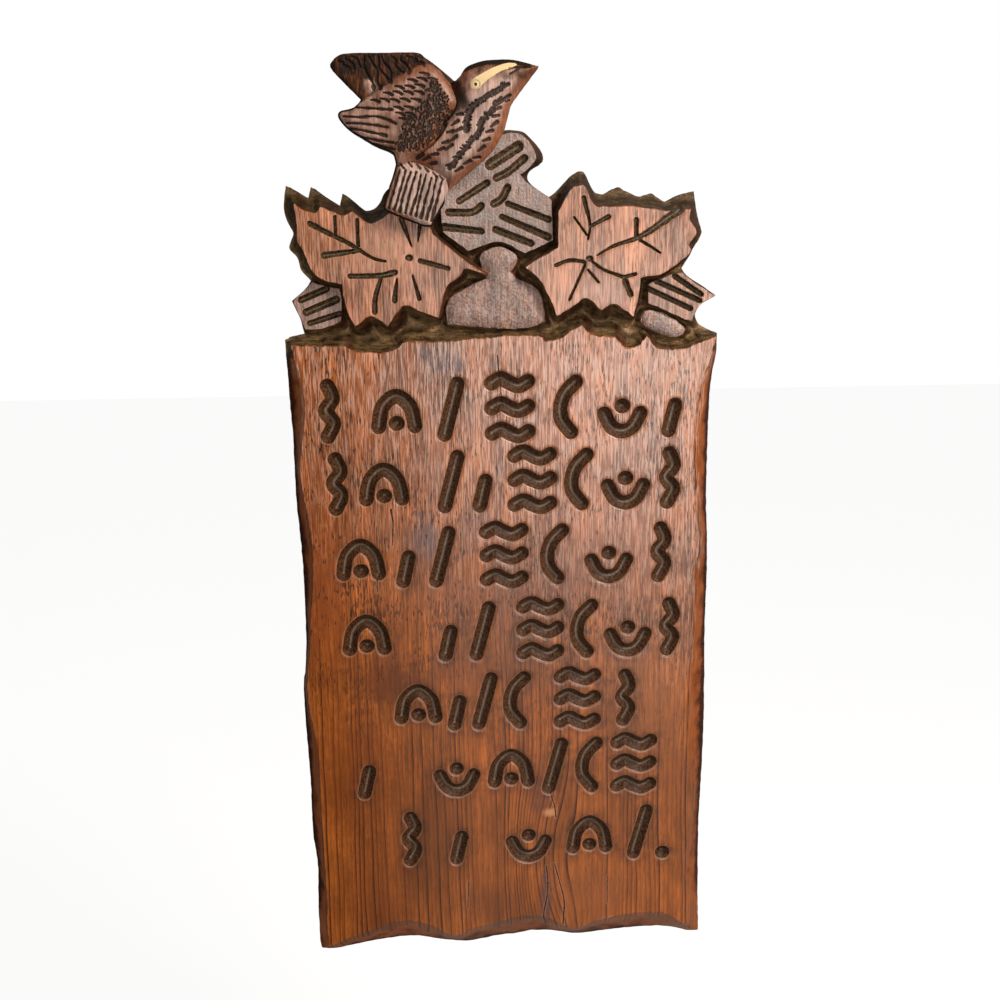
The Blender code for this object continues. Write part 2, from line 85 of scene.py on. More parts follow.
PLANK_EDGE = (
    (-138, 161, TIP), (-130, 156), (-124, 153, TIP), (-122, 160, TIP), (-118, 157), (-111, 152),
    (-104, 148, TIP), (-102, 156, TIP), (-97, 152), (-91, 147), (-87, 145), (-82, 146), (-78, 150),
    (-74, 157), (-62, 166), (-46, 177), (-28, 187), (-10, 193), (4, 194), (13, 193), (17, 191), (23, 185),
    (27, 179), (27, 174), (22, 171), (18, 167), (18, 162), (23, 157), (31, 152, TIP), (37, 156), (47, 166),
    (52, 168), (55, 166), (60, 156), (64, 154), (68, 154), (76, 158), (80, 156), (85, 154), (91, 152),
    (98, 154), (101, 152), (106, 149), (110, 149), (118, 153), (126, 155, TIP), (127, 148), (129, 139),
    (132, 129, TIP), (130, 124), (127, 119), (119, 106, TIP), (124, 100), (132, 95), (142, 88, TIP),
    (138, 86), (132, 82), (129, 76), (131, 70), (135, 67), (144, 63, TIP), (144, 52), (141, 32), (140, 10),
    (140, -47), (142, -91), (142, -149), (143, -196), (143, -246), (142, -286), (142, -327), (144, -388, TIP),
    (136, -388), (126, -385), (110, -383), (84, -384), (64, -386), (50, -387), (34, -384), (18, -383),
    (6, -385), (-7, -386), (-23, -389), (-34, -390), (-50, -388), (-64, -385), (-77, -384), (-96, -386),
    (-114, -389), (-128, -392), (-138, -392), (-142, -387), (-142, -351), (-141, -323), (-143, -296),
    (-143, -250), (-144, -211), (-144, -180), (-141, -159), (-140, -95), (-142, -46), (-142, -2), (-143, 30),
    (-144, 63, TIP), (-131, 66, TIP), (-132, 71), (-133, 77), (-138, 88, TIP), (-128, 96), (-125, 101, TIP),
    (-131, 108), (-133, 116), (-138, 122), (-135, 130), (-136, 134), (-139, 141), (-140, 149),
)
PANEL_FACE = (
    (-138, 60, TIP), (-118, 59), (-104, 59), (-94, 55), (-74, 55), (-63, 61), (-40, 61), (-2, 64), (23, 64),
    (27, 60), (32, 61), (39, 63), (46, 68), (51, 70, TIP), (56, 65), (62, 63), (73, 62), (79, 56), (83, 55),
    (89, 57), (94, 63, TIP), (100, 56), (108, 54), (118, 54), (127, 57), (140, 62, TIP), (136, 46),
    (132, 36), (129, 22), (127, 6), (127, -22), (129, -50), (132, -72), (132, -86), (129, -101), (129, -156),
    (127, -172), (126, -205), (128, -232), (132, -268), (130, -302), (127, -335), (130, -372, TIP),
    (117, -363), (107, -361), (92, -361), (77, -363), (62, -367), (48, -372), (38, -368), (27, -362),
    (12, -360), (-7, -364), (-27, -369), (-38, -374), (-47, -372), (-63, -363), (-76, -361), (-87, -361),
    (-99, -366), (-121, -374), (-132, -378), (-134, -360), (-133, -339), (-134, -266), (-134, -225),
    (-138, -195), (-139, -175), (-136, -148), (-134, -124), (-131, -95), (-131, -66), (-135, -37),
    (-136, -21), (-132, 8), (-131, 27), (-136, 53),
)
LEFT_LEAF = (
    (-131, 149, TIP), (-126, 145), (-118, 143), (-115, 147, TIP), (-106, 143), (-101, 141), (-95, 144, TIP),
    (-86, 137), (-80, 137), (-72, 142), (-60, 150), (-48, 145), (-46, 133, TIP), (-44, 129), (-38, 124),
    (-27, 115), (-22, 111), (-11, 104, TIP), (-24, 108), (-28, 103), (-36, 97), (-39, 89), (-42, 77, TIP),
    (-53, 81), (-58, 84), (-63, 85), (-67, 83), (-75, 72, TIP), (-83, 78), (-88, 78), (-96, 72, TIP),
    (-101, 84), (-103, 99, TIP), (-115, 102), (-122, 108), (-127, 121), (-130, 126), (-130, 135),
)
RIGHT_LEAF = (
    (15, 108, TIP), (21, 112), (36, 120, TIP), (36, 136), (37, 144), (44, 156), (49, 158), (53, 157),
    (59, 146), (67, 145), (82, 145), (98, 143), (107, 142), (121, 143, TIP), (120, 137), (124, 131),
    (124, 127), (120, 121), (121, 116), (107, 105), (99, 102), (89, 101, TIP), (89, 94), (85, 76, TIP),
    (78, 81), (73, 84), (68, 83), (64, 80, TIP), (57, 87), (52, 88), (47, 84), (35, 77, TIP), (32, 85),
    (25, 99), (20, 104),
)
CENTRE_LEAF = (
    (5, 191), (13, 190), (19, 184), (22, 177), (21, 173), (14, 167), (13, 164), (32, 150, TIP),
    (33, 125, TIP), (15, 117, TIP), (9, 120), (1, 124), (-6, 124), (-22, 119, TIP), (-38, 131, TIP),
    (-39, 146, TIP), (-36, 156), (-22, 172), (-6, 186),
)
MOUND = (
    (-2, 121), (4, 119), (9, 116), (10, 112), (5, 105, TIP), (11, 100), (20, 96), (25, 90), (27, 82),
    (28, 73, TIP), (16, 69), (-5, 69), (-36, 72, TIP), (-37, 81), (-34, 89), (-27, 93), (-18, 98),
    (-10, 101, TIP), (-14, 112), (-12, 118),
)
LEFT_SIDE_LEAF = (
    (-136, 88, TIP), (-123, 100, TIP), (-112, 97), (-106, 96, TIP), (-105, 90), (-105, 79),
    (-106, 75, TIP), (-117, 71), (-129, 70, TIP), (-131, 76),
)
RIGHT_SIDE_LEAF = (
    (96, 96, TIP), (113, 103, TIP), (118, 103, TIP), (124, 98), (140, 88, TIP), (131, 83), (127, 77),
    (125, 72, TIP), (118, 74), (106, 80), (96, 84, TIP),
)
PEBBLE = ((92, 74), (96, 79), (104, 78), (114, 73), (121, 66), (115, 61), (102, 65), (94, 69))
BIRD_SEAT = (
    (-58, 148), (-50, 164), (-38, 175), (-24, 185), (-8, 189), (-4, 186), (-16, 175), (-32, 163), (-44, 148),
)

# Each cut is its centre line, its width at the first point and its width at the last.
LEAF_CUTS = (
    (((-122, 137), (-109, 130), (-99, 125), (-91, 120), (-83, 115), (-75, 113)), 3.9, 2.0),
    (((-106, 141), (-106, 130)), 2.4, 2.0),
    (((-92, 139), (-92, 123)), 2.7, 2.7),
    (((-114, 117), (-91, 120)), 4.8, 2.7),
    (((-98, 104), (-79, 104), (-69, 106)), 3.4, 4.1),
    (((-78, 103), (-82, 91), (-83, 81)), 2.7, 4.1),
    (((-68, 102), (-70, 88)), 1.4, 4.1),
    (((-58, 104), (-54, 89)), 1.4, 3.4),
    (((-53, 113), (-35, 108)), 3.4, 3.4),
    (((-64, 139), (-58, 122)), 4.1, 1.0),
    (((-52, 137), (-54, 125)), 3.4, 1.0),
    (((-60.5, 115), (-59.5, 115)), 4.5, 4.5),
    (((52, 151), (56, 135), (55, 125)), 3.4, 1.4),
    (((56, 133), (68, 139)), 2.0, 3.4),
    (((46, 139), (54, 128)), 1.7, 1.7),
    (((55.5, 113), (56.5, 113)), 4.1, 4.1),
    (((61, 115), (72, 121), (85, 125), (95, 130), (105, 137), (114, 143)), 1.4, 6.1),
    (((86, 137), (86, 127)), 3.4, 3.4),
    (((89, 124), (102, 116)), 2.7, 1.4),
    (((34, 109), (43, 112), (53, 111)), 2.7, 2.7),
    (((53, 109), (43, 87)), 2.0, 2.0),
    (((55, 106), (62, 98)), 2.0, 2.0),
    (((58, 111), (65, 106), (78, 101)), 2.0, 2.7),
    (((78, 101), (86, 103)), 2.7, 2.7),
    (((79, 99), (83, 90)), 4.1, 4.1),
)
HATCH_CUTS = (
    (((-7, 172), (11, 183)), 7.5, 7.5),
    (((-3, 164), (5, 168), (15, 176)), 5.4, 5.4),
    (((-27, 150), (-9, 161)), 4.8, 4.8),
    (((-5, 148), (0, 151), (4, 158)), 5.4, 5.4),
    (((-34, 143), (-19, 143), (-13, 147)), 5.1, 5.1),
    (((-37, 134), (-13, 131)), 5.4, 4.4),
    (((4, 148), (30, 138)), 4.0, 4.8),
    (((0, 140), (30, 127)), 4.0, 5.4),
    (((-4, 132), (19, 123)), 5.1, 5.1),
    (((113, 101), (131, 89)), 4.1, 4.1),
    (((101, 98), (130, 85)), 4.1, 4.1),
    (((96, 93), (124, 80)), 4.1, 4.1),
    (((-131, 89), (-114, 96)), 4.8, 4.8),
    (((-128, 81), (-108, 89)), 5.4, 5.4),
    (((-126, 74), (-106, 80)), 4.1, 4.1),
)

# Drying cracks in the panel, which follow the grain.
CRACKS = (
    (((-4, 52), (-3, 36), (-1, 18)), 0.9, 0.4),
    (((-77, -50), (-76, -61), (-77, -75)), 1.5, 0.5),
    (((-88, -98), (-88, -108)), 0.8, 0.5),
    (((27, -320), (28, -340), (25, -360), (27, -372)), 1.1, 0.7),
    (((33, -318), (37, -335), (40, -350), (39, -368)), 0.6, 1.0),
    (((30, -262), (33, -272), (34, -281)), 0.6, 0.9),
    (((-30, -330), (-31, -352)), 0.5, 0.7),
    (((72, -330), (72, -352)), 0.5, 0.4),
)

# The marks stand for writing without being any. Each is a few strokes, whose centre lines start at the row's
# foot and at the mark's left, and reach TALL or only LOW.
TALL = ROW_HEIGHT - STROKE_WIDTH
LOW = 17
FLAME = (((2, 0), (6, 9), (1, 17), (6, 25), (3, TALL)),)
LEANING = (((0, 0), (9, TALL)),)
CRESCENT = (((7, 0), (1, 8), (0, 17), (3, 26), (10, TALL)),)
RIPPLES = tuple(((0, z), (6, z + 3), (12, z), (18, z - 2), (24, z + 1)) for z in (0, LOW, TALL))
SUNRISE = (((0, 6), (3, 19), (12, 26), (21, 19), (24, 6)), ((11.6, 8), (12.4, 8)))
BOWL = (((0, 12), (5, 3), (12, 0), (19, 3), (24, 12)), ((11.6, LOW), (12.4, LOW)))
STUB = (((0, 0), (4, LOW)),)
MARKS = (FLAME, SUNRISE, LEANING, RIPPLES, CRESCENT, BOWL, STUB)

# The top of each row and the left and right ends of its groups of marks.
ROWS = (
    (39, ((-124, -54), (-45, 21), (32, 119))),
    (-10, ((-121, -64), (-46, -8), (1, 119))),
    (-62, ((-116, -61), (-53, 16), (23, 114))),
    (-116, ((-114, -68), (-48, -7), (6, 121))),
    (-168, ((-80, 17), (32, 91))),
    (-219, ((-108, -81), (-54, 107))),
    (-273, ((-79, -29), (-3, 105))),
)
CLOSING_DOT = (112, -312)

BIRD_EDGE = (
    (-66, 172, TIP), (-68, 178), (-77, 182), (-86, 187), (-95, 193), (-100, 199), (-99, 203), (-91, 205),
    (-86, 210, TIP), (-99, 223), (-104, 229), (-103, 232), (-98, 236), (-88, 237), (-73, 237), (-52, 237),
    (-46, 234), (-39, 229), (-28, 220, TIP), (-25, 223), (-21, 228), (-13, 231), (-5, 232), (6, 232),
    (16, 230), (23, 228, TIP), (11, 213), (6, 206), (3, 196), (0, 188), (-7, 178), (-16, 170), (-25, 163),
    (-34, 155), (-36, 149), (-42, 139), (-45, 134), (-49, 134), (-60, 138), (-73, 144), (-74, 148),
    (-71, 157), (-67, 168),
)
FAR_WING = (
    (-86, 208, TIP), (-99, 222), (-104, 229), (-103, 232), (-98, 236), (-88, 237), (-73, 237), (-52, 237),
    (-46, 234), (-39, 229), (-28, 220, TIP), (-40, 205, TIP),
)
NEAR_WING = (
    (-64, 172, TIP), (-68, 178), (-77, 182), (-86, 187), (-95, 193), (-100, 199), (-99, 203), (-91, 205),
    (-82, 210), (-64, 221), (-54, 226), (-44, 228), (-35, 220), (-28, 208), (-31, 201), (-37, 195),
    (-41, 186), (-47, 181), (-56, 176),
)
TAIL = (
    (-65, 172, TIP), (-67, 168), (-71, 157), (-74, 148), (-73, 144), (-60, 138), (-49, 134), (-45, 134),
    (-42, 139), (-36, 149), (-34, 155), (-35, 163, TIP), (-44, 168), (-54, 172),
)
BODY = (
    (-66, 172, TIP), (-44, 190, TIP), (-28, 220, TIP), (-25, 223), (-21, 228), (-13, 231), (-5, 232),
    (6, 232), (16, 230), (23, 228, TIP), (11, 213), (6, 206), (3, 196), (0, 188), (-7, 178), (-16, 170),
    (-25, 163), (-34, 155, TIP), (-37, 163), (-46, 169), (-56, 173),
)
FEATHER_CUTS = (
    (((-90, 205), (-79, 204), (-67, 203)), 1.6, 2.2),
    (((-97, 200), (-88, 199), (-75, 199), (-65, 195)), 1.6, 2.2),
    (((-95, 196), (-82, 195), (-70, 193)), 1.6, 2.2),
    (((-93, 193), (-83, 191), (-71, 188)), 1.6, 2.2),
    (((-87, 188), (-74, 185), (-67, 184)), 1.6, 2.2),
    (((-79, 184), (-73, 182), (-66, 180)), 1.2, 1.8),
    (((-34, 195), (-37, 190), (-41, 185)), 2.0, 1.6),
    (((4, 226), (9, 227), (15, 227)), 1.6, 1.2),
    (((5, 223), (12, 227)), 1.6, 1.2),
)
# The long grooves from the throat down the belly, whose rims are ragged.
BELLY_GROOVES = (
    (((4, 217), (-7, 212), (-17, 205), (-21, 199), (-22, 191)), 3.0, 5.0),
    (((5, 211), (-4, 205), (-11, 197), (-16, 188), (-25, 178), (-33, 169)), 2.6, 4.0),
)
CREAM_PATCH = (
    (-18, 217), (-17, 220), (-12, 223), (-4, 227), (4, 229.5), (9, 229), (7, 227.5), (0, 225), (-7, 221),
    (-12, 217), (-14, 215), (-17, 215),
)
EYE = (-16, 217)

# Rows of feather nicks on the near wing: the row's height, and the first and last nick's left end.
NICK_ROWS = (
    (223.6, -50, -47), (219.6, -57, -46), (216.2, -65, -48), (212.2, -72, -49), (208.4, -80, -51),
    (204.0, -66, -55), (200.2, -65, -57), (196.8, -63, -59),
)
ROUGH_ZONE = (
    (-42, 219), (-38, 217), (-34, 209), (-32, 201), (-39, 190), (-44, 184), (-56, 179), (-65, 181),
    (-62, 188), (-61, 195), (-56, 201), (-48, 206), (-45, 213),
)
BELLY_NICKS = (
    (-3, 203), (-4, 199), (-5, 194), (-8, 190), (-10, 185), (-13, 180), (-16, 175), (-22, 172), (-27, 168),
    (-26, 200), (-29, 195), (-27, 191), (-32, 190), (-30, 186), (-35, 184), (-38, 180), (-33, 181),
    (-42, 177), (-47, 175), (-51, 176), (-43, 172),
)
TAIL_NICKS = ((-62, 170), (-57, 171), (-52, 170), (-47, 168), (-42, 165), (-38, 163))

# Patches where the wood took the stain differently, pale patches of painted sheen and dark patches of
# painted shade for how the light falls across the panel: x, z, half width, half height, colour and strength.
STAIN_AND_PAINTED_LIGHT_PATCHES = (
    (-40, 50, 17, 12, "#544A50", 0.75), (-53, -73, 16, 15, "#57494F", 0.65),
    (8, 10, 14, 24, "#6E5B5C", 0.35), (-122, 0, 18, 60, "#8C5436", 0.45),
    (-124, -110, 18, 70, "#86401A", 0.6), (-20, -62, 12, 16, "#7A5A55", 0.4),
    (70, -60, 40, 40, "#96604A", 0.3), (29, -277, 5.2, 3.6, "#E09A66", 0.9),
    (27, -345, 5, 26, "#4C3438", 0.7), (22, -262, 9, 22, "#5E342C", 0.5),
    (60, -345, 30, 30, "#A05A30", 0.4), (-100, -340, 30, 50, "#6A3216", 0.4),
    (-85, -172, 34, 22, "#55290F", 0.65), (-108, -240, 34, 60, "#6E3411", 0.55),
    (-30, -165, 40, 16, "#6A3819", 0.4), (0, -110, 60, 14, "#94512C", 0.4),
    (95, -200, 30, 60, "#A5602C", 0.45), (100, 45, 40, 20, "#CF967A", 0.4),
    (-95, 128, 22, 14, "#A8704E", 0.3), (-58, 98, 12, 12, "#8C6A62", 0.25),
    (62, 92, 24, 12, "#94705F", 0.4), (-74, 118, 30, 18, "#CB957A", 0.4),
    (-75, 30, 14, 22, "#6B4436", 0.4), (40, 35, 10, 20, "#B58271", 0.4),
    (-85, 60, 20, 6, "#6A4534", 0.4), (60, -110, 26, 20, "#8C5232", 0.35),
    (-60, -300, 26, 40, "#74401F", 0.35), (-15, -350, 26, 16, "#6B3A1E", 0.4),
)


def linear(colour: str) -> tuple[float, float, float, float]:
    """The linear RGBA of an sRGB hex colour."""
    parts = [int(colour[i:i + 2], 16) / 255 for i in (1, 3, 5)]
    return (*(p / 12.92 if p < 0.04045 else ((p + 0.055) / 1.055) ** 2.4 for p in parts), 1.0)


def feed(node: Node, inputs: dict | tuple) -> None:
    """Link or set a node's inputs.

    Args:
        node: The node that is fed.
        inputs: Nodes, sockets, hex colours or values, by the input's name or index or in the inputs' order.
    """
    for key, value in inputs.items() if isinstance(inputs, dict) else enumerate(inputs):
        named = [s for s in node.inputs if s.name == key and s.enabled]
        socket = named[0] if named else node.inputs[key]
        if isinstance(value, Node):
            value = next(s for s in value.outputs if s.enabled)
        if isinstance(value, NodeSocket):
            node.id_data.links.new(value, socket)
        elif isinstance(value, str) and value.startswith("#"):
            socket.default_value = linear(value)
        else:
            socket.default_value = value


def add(tree: NodeTree, kind: str, inputs: dict | tuple = (), **settings) -> Node:
    """Add a node with its settings, its values and its links.

    Args:
        tree: The node tree that gets the node.
        kind: The node's type name, where ShaderNode may be left out, and its operation if it has one.
        inputs: What its inputs are fed. A MapRange takes a value, the range it is from, and the range it
            is spread to.
        settings: The node's other properties.

    Returns:
        The new node.
    """
    kind, _, operation = kind.partition(" ")
    node = tree.nodes.new(kind if "Node" in kind else f"ShaderNode{kind}")
    if operation:
        node.operation = operation
    for name, value in settings.items():
        setattr(node, name, value)
    feed(node, inputs)
    return node


def placed(name: str, data: ID) -> Object:
    """A new object in the scene.

    Args:
        name: Its name.
        data: Its data.

    Returns:
        The object.
    """
    item = bpy.data.objects.new(name, data)
    bpy.context.scene.collection.objects.link(item)
    return item


def flat_box(node: str) -> list[np.ndarray]:
    """The lowest and the highest corner of a CAD node's box, in X and Z."""
    return [np.array((corner.x, corner.z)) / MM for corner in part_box(node)]


def smooth(low: float, high: float, value: np.ndarray) -> np.ndarray:
    """A smooth step from 0 at low to 1 at high."""
    t = np.clip((value - low) / (high - low), 0, 1)
    return t * t * (3 - 2 * t)


def rumple(points: np.ndarray, size: float, seed: float, stretch: float = 1.0) -> np.ndarray:
    """Smooth noise from about -1 to 1 over flat points.

    Args:
        points: Places in X and Z.
        size: How far apart its swells are.
        seed: Which noise it is.
        stretch: How much longer the swells are along the grain.

    Returns:
        One value for each point.
    """
    return np.array([noise.noise(Vector((x / size, z / size / stretch, seed))) for x, z in points]) * 1.6


def flowing(points: tuple, pitch: float, closed: bool = True) -> np.ndarray:
    """Places at most pitch apart on a curve through the points, which turns sharply at each TIP.

    Args:
        points: The curve's own points, with TIP as a third value where it turns sharply.
        pitch: How far apart the places may be.
        closed: Whether the line ends where it starts.

    Returns:
        The places.
    """
    places = [np.array(point[:2], float) for point in points]
    sharp = [len(point) > 2 for point in points]
    count = len(places)
    line = []
    for i in range(count if closed else count - 1):
        start, end = places[i], places[(i + 1) % count]
        open_start = not closed and i == 0
        open_end = not closed and i == count - 2
        before = start if sharp[i] or open_start else places[i - 1]
        after = end if sharp[(i + 1) % count] or open_end else places[(i + 2) % count]
        leave, arrive = (end - before) / 2, (after - start) / 2
        steps = math.ceil(np.linalg.norm(end - start) / pitch)
        for t in np.arange(steps) / steps:
            line.append(
                (2 * t**3 - 3 * t**2 + 1) * start + (t**3 - 2 * t**2 + t) * leave
                + (3 * t**2 - 2 * t**3) * end + (t**3 - t**2) * arrive
            )
    if not closed:
        line.append(places[-1])
    return np.array(line)


def across(line: np.ndarray, closed: bool = True) -> np.ndarray:
    """Unit vectors at right angles to the line, to its left, at each of its points.

    Args:
        line: Places along the line.
        closed: Whether the line ends where it starts.

    Returns:
        One vector for each place.
    """
    along = np.roll(line, -1, axis=0) - np.roll(line, 1, axis=0) if closed else np.gradient(line, axis=0)
    along /= np.maximum(np.linalg.norm(along, axis=1), 1e-9)[:, None]
    return np.stack([-along[:, 1], along[:, 0]], axis=1)


def whittled(line: np.ndarray, size: float, wave: float, seed: float) -> np.ndarray:
    """The closed line with the small swerves of a knife."""
    return line + across(line) * (rumple(line, wave, seed) * size)[:, None]


def nearest(points: np.ndarray, line: np.ndarray, closed: bool = True, reach: float = 45.0) -> np.ndarray:
    """Each point's distance from the line, or reach where it is further.

    Args:
        points: Places in X and Z.
        line: Places along the line.
        closed: Whether the line ends where it starts.
        reach: The longest distance that is told apart.

    Returns:
        One distance for each point.
    """
    starts = line if closed else line[:-1]
    ends = np.roll(line, -1, axis=0) if closed else line[1:]
    along = ends - starts
    squares = np.maximum((along**2).sum(axis=1), 1e-12)
    gaps = np.full(len(points), reach)
    close = ((points > line.min(axis=0) - reach) & (points < line.max(axis=0) + reach)).all(axis=1)
    rows = np.flatnonzero(close)
    for some in np.array_split(rows, len(rows) // 2000 + 1):
        from_start = points[some, None, :] - starts[None, :, :]
        share = np.clip((from_start * along).sum(axis=2) / squares, 0, 1)
        gap = from_start - share[:, :, None] * along
        gaps[some] = np.minimum(np.sqrt((gap**2).sum(axis=2).min(axis=1)), reach)
    return gaps


def inside(points: np.ndarray, loop: np.ndarray) -> np.ndarray:
    """Whether each point lies inside the closed loop.

    Args:
        points: Places in X and Z.
        loop: Places along the loop.

    Returns:
        True or False for each point.
    """
    x0, z0 = loop[:, 0], loop[:, 1]
    x1, z1 = np.roll(x0, -1), np.roll(z0, -1)
    rise = np.where(z1 == z0, 1, z1 - z0)
    within = np.zeros(len(points), bool)
    rows = np.flatnonzero(((points >= loop.min(axis=0)) & (points <= loop.max(axis=0))).all(axis=1))
    for some in np.array_split(rows, len(rows) // 4000 + 1):
        x, z = points[some, :1], points[some, 1:]
        spans = (z0 > z) != (z1 > z)
        within[some] = (spans & (x < (x1 - x0) * (z - z0) / rise + x0)).sum(axis=1) % 2 == 1
    return within


def honeycomb(low: np.ndarray, high: np.ndarray, pitch: float) -> tuple[np.ndarray, np.ndarray]:
    """Points in staggered rows, and the coarsest sieve that keeps each.

    Args:
        low: The lowest corner of the points' area.
        high: Its highest corner.
        pitch: How far apart the points are.

    Returns:
        The points, and 0 for those that every sieve drops, 1 for the quarter that the second sieve keeps
        and 2 for the sixteenth that the third one keeps too.
    """
    rows = np.arange(int((high[1] - low[1]) / (pitch * math.sqrt(3) / 2)) + 2)
    columns = np.arange(int((high[0] - low[0]) / pitch) + 2)
    column, row = np.meshgrid(columns, rows)
    column, row = column.ravel(), row.ravel()
    x = low[0] + (column + (row % 2) / 2) * pitch
    z = low[1] + row * pitch * math.sqrt(3) / 2
    sieve = np.zeros(len(x), int)
    sieve[(row % 2 == 0) & ((column + row // 2) % 2 == 0)] = 1
    sieve[(row % 4 == 0) & (column % 4 == (row // 4 % 2) * 2)] = 2
    return np.stack([x, z], axis=1), sieve


@dataclass(frozen=True)
class Form:
    """One raised form of a relief.

    Attributes:
        outline: The edge of its face.
        level: The level of its face.
        widest_wall: How wide its wall may be.
        cove: How hollow its wall is, 1 for a straight one.
        crown: How far its face rounds down to its edge.
        shoulder: How wide that rounding is.
        low_at: The place towards which the face slopes down.
        low_by: How far the face has come down there.
        low_over: How far from that place the slope starts.
        wall_stain: How dark the stain lies on its wall.
        ash: How much its face has gone matte and grey.
        blush: How pink its face is.
        stipple: How roughly its face is punched.
    """

    outline: tuple
    level: float
    widest_wall: float = 10
    cove: float = 1.7
    crown: float = 0
    shoulder: float = 8
    low_at: tuple | None = None
    low_by: float = 0
    low_over: float = 1
    wall_stain: float = 1.0
    ash: float = 0.0
    blush: float = 0.0
    stipple: float = 0.0

    def face_level(self, loop: np.ndarray, points: np.ndarray) -> np.ndarray:
        """The form's own height at each point, with its crown and its slope, but no wall.

        Args:
            loop: Places along the form's outline.
            points: Places in X and Z.

        Returns:
            One level for each point.
        """
        over = np.clip(1 - nearest(points, loop) / self.shoulder, 0, 1) ** 2 if self.crown else 0
        level = self.level - self.crown * np.where(inside(points, loop), over, 1)
        if self.low_at is not None:
            far = np.linalg.norm(points - np.array(self.low_at, float), axis=1)
            level = level - self.low_by * np.clip(1 - far / self.low_over, 0, 1)
        return level


@dataclass(frozen=True)
class Cut:
    """One groove: its centre line, half its width at each point of that line, and its depth."""

    path: np.ndarray
    half: np.ndarray
    depth: float

    def side(self, share: float, sign: int) -> np.ndarray:
        """The line at that share of the way from the centre line to the rim, on one side."""
        return self.path + across(self.path, closed=False) * (self.half * share * sign)[:, None]

    def ring(self, share: float, extra: float = 0.0) -> np.ndarray:
        """The closed line round the groove at that share of its half width, and extra beyond it.

        Args:
            share: The share of the half width.
            extra: How far beyond that.

        Returns:
            Places along the line.
        """
        wide = Cut(self.path, self.half * share + extra, self.depth)
        left, right = wide.side(1, 1), wide.side(1, -1)
        arc = max(3, int(wide.half[-1] * math.pi / 1.4))
        turns = np.arange(1, arc) * math.pi / arc
        ends = []
        for place, edge in ((self.path[-1], left[-1]), (self.path[0], right[0])):
            reach = edge - place
            ahead = np.array([reach[1], -reach[0]])
            ends.append([place + reach * math.cos(turn) + ahead * math.sin(turn) for turn in turns])
        return np.concatenate([left, ends[0], right[::-1], ends[1]])


def gouged(points: tuple, first: float, last: float, depth: float, knotty: float, seed: float) -> Cut:
    """A cut along the points, whose width changes evenly from end to end and swells and pinches by hand.

    Args:
        points: The centre line's own points.
        first: The width at the first point.
        last: The width at the last point.
        depth: The depth along the valley.
        knotty: How much the width varies, as a share of it.
        seed: Which variation it is.

    Returns:
        The cut.
    """
    path = flowing(points, min(1.4, max(first, last) * 0.45), closed=False)
    path = path + np.stack([rumple(path, 7, seed), rumple(path, 7, seed + 9)], axis=1) * knotty * 0.5
    share = np.linspace(0, 1, len(path))
    half = (first + share * (last - first)) / 2 * (1 + knotty * rumple(path, 2.6, seed + 20))
    return Cut(path, np.maximum(half, 0.2), depth)


def span(mark: tuple) -> float:
    """How far a mark's centre lines reach to the right of its left end."""
    return max(x for stroke in mark for x, _ in stroke)


def fill(width: float, queue: list) -> tuple[list, float]:
    """Marks from the queue until none fits what is left of the width, and the even gap between them.

    Args:
        width: The width of a group of marks.
        queue: The marks, which go to its end once used.

    Returns:
        The marks, and the gap.
    """
    group = []
    room = width - STROKE_WIDTH + MARK_GAP
    while fitting := [mark for mark in queue if span(mark) + MARK_GAP <= room]:
        group.append(fitting[0])
        queue.remove(fitting[0])
        queue.append(fitting[0])
        room -= span(fitting[0]) + MARK_GAP
    return group, MARK_GAP + room / max(1, len(group) - 1)


def row_cuts() -> list[Cut]:
    """The strokes of every row, group by group.

    Returns:
        The cuts.
    """
    queue = list(MARKS)
    strokes = []
    for top, groups in ROWS:
        foot = top - TALL - STROKE_WIDTH / 2
        for left, right in groups:
            x = left + STROKE_WIDTH / 2
            marks, gap = fill(right - left, queue)
            for mark in marks:
                strokes += [tuple((x + aside, foot + rise) for aside, rise in stroke) for stroke in mark]
                x += span(mark) + gap
    x, z = CLOSING_DOT
    strokes.append(((x - 0.4, z), (x + 0.4, z)))
    return [
        gouged(stroke, STROKE_WIDTH, STROKE_WIDTH, STROKE_DEPTH, 0.035, i)
        for i, stroke in enumerate(strokes)
    ]


@dataclass
class Drawing:
    """A flat drawing of a piece's front: lines that the mesh creases along, and loose points between them."""

    edge: np.ndarray
    points: list = field(default_factory=list)
    pairs: list = field(default_factory=list)

    def __post_init__(self) -> None:
        """Start with the piece's own edge."""
        self.line(self.edge, True)

    def line(self, line: np.ndarray, closed: bool) -> None:
        """Add a line that the mesh has edges along.

        Args:
            line: Places along the line.
            closed: Whether the line ends where it starts.
        """
        first = len(self.points)
        self.points.extend(line.tolist())
        self.pairs.extend((first + i, first + i + 1) for i in range(len(line) - 1))
        if closed:
            self.pairs.append((first + len(line) - 1, first))

    def cut(self, cut: Cut, shares: tuple, lip: float) -> None:
        """Add a cut's centre line, the rings at these shares of its width, and the outside of its lip.

        Args:
            cut: The cut.
            shares: The shares of its half width.
            lip: The lip's width.
        """
        self.line(cut.path, False)
        for share in shares:
            self.line(cut.ring(share), True)
        if lip:
            self.line(cut.ring(1, lip), True)

    def loose(self, points: np.ndarray) -> None:
        """Add points that no line runs through."""
        self.points.extend(points.tolist())

    def triangles(self) -> tuple[np.ndarray, np.ndarray]:
        """The drawing's points and its triangles inside the edge, each anticlockwise in X and Z.

        Returns:
            The points, and the numbers of each triangle's points.
        """
        flat, _, faces, _, _, _ = delaunay_2d_cdt(
            [tuple(p) for p in self.points], self.pairs, [], 0, MERGE_DISTANCE
        )
        flat = np.array([tuple(p) for p in flat])
        faces = np.array(faces)
        faces = faces[inside(flat[faces].mean(axis=1), self.edge)]
        used, places = np.unique(faces, return_inverse=True)
        return flat[used], places.reshape(-1, 3)


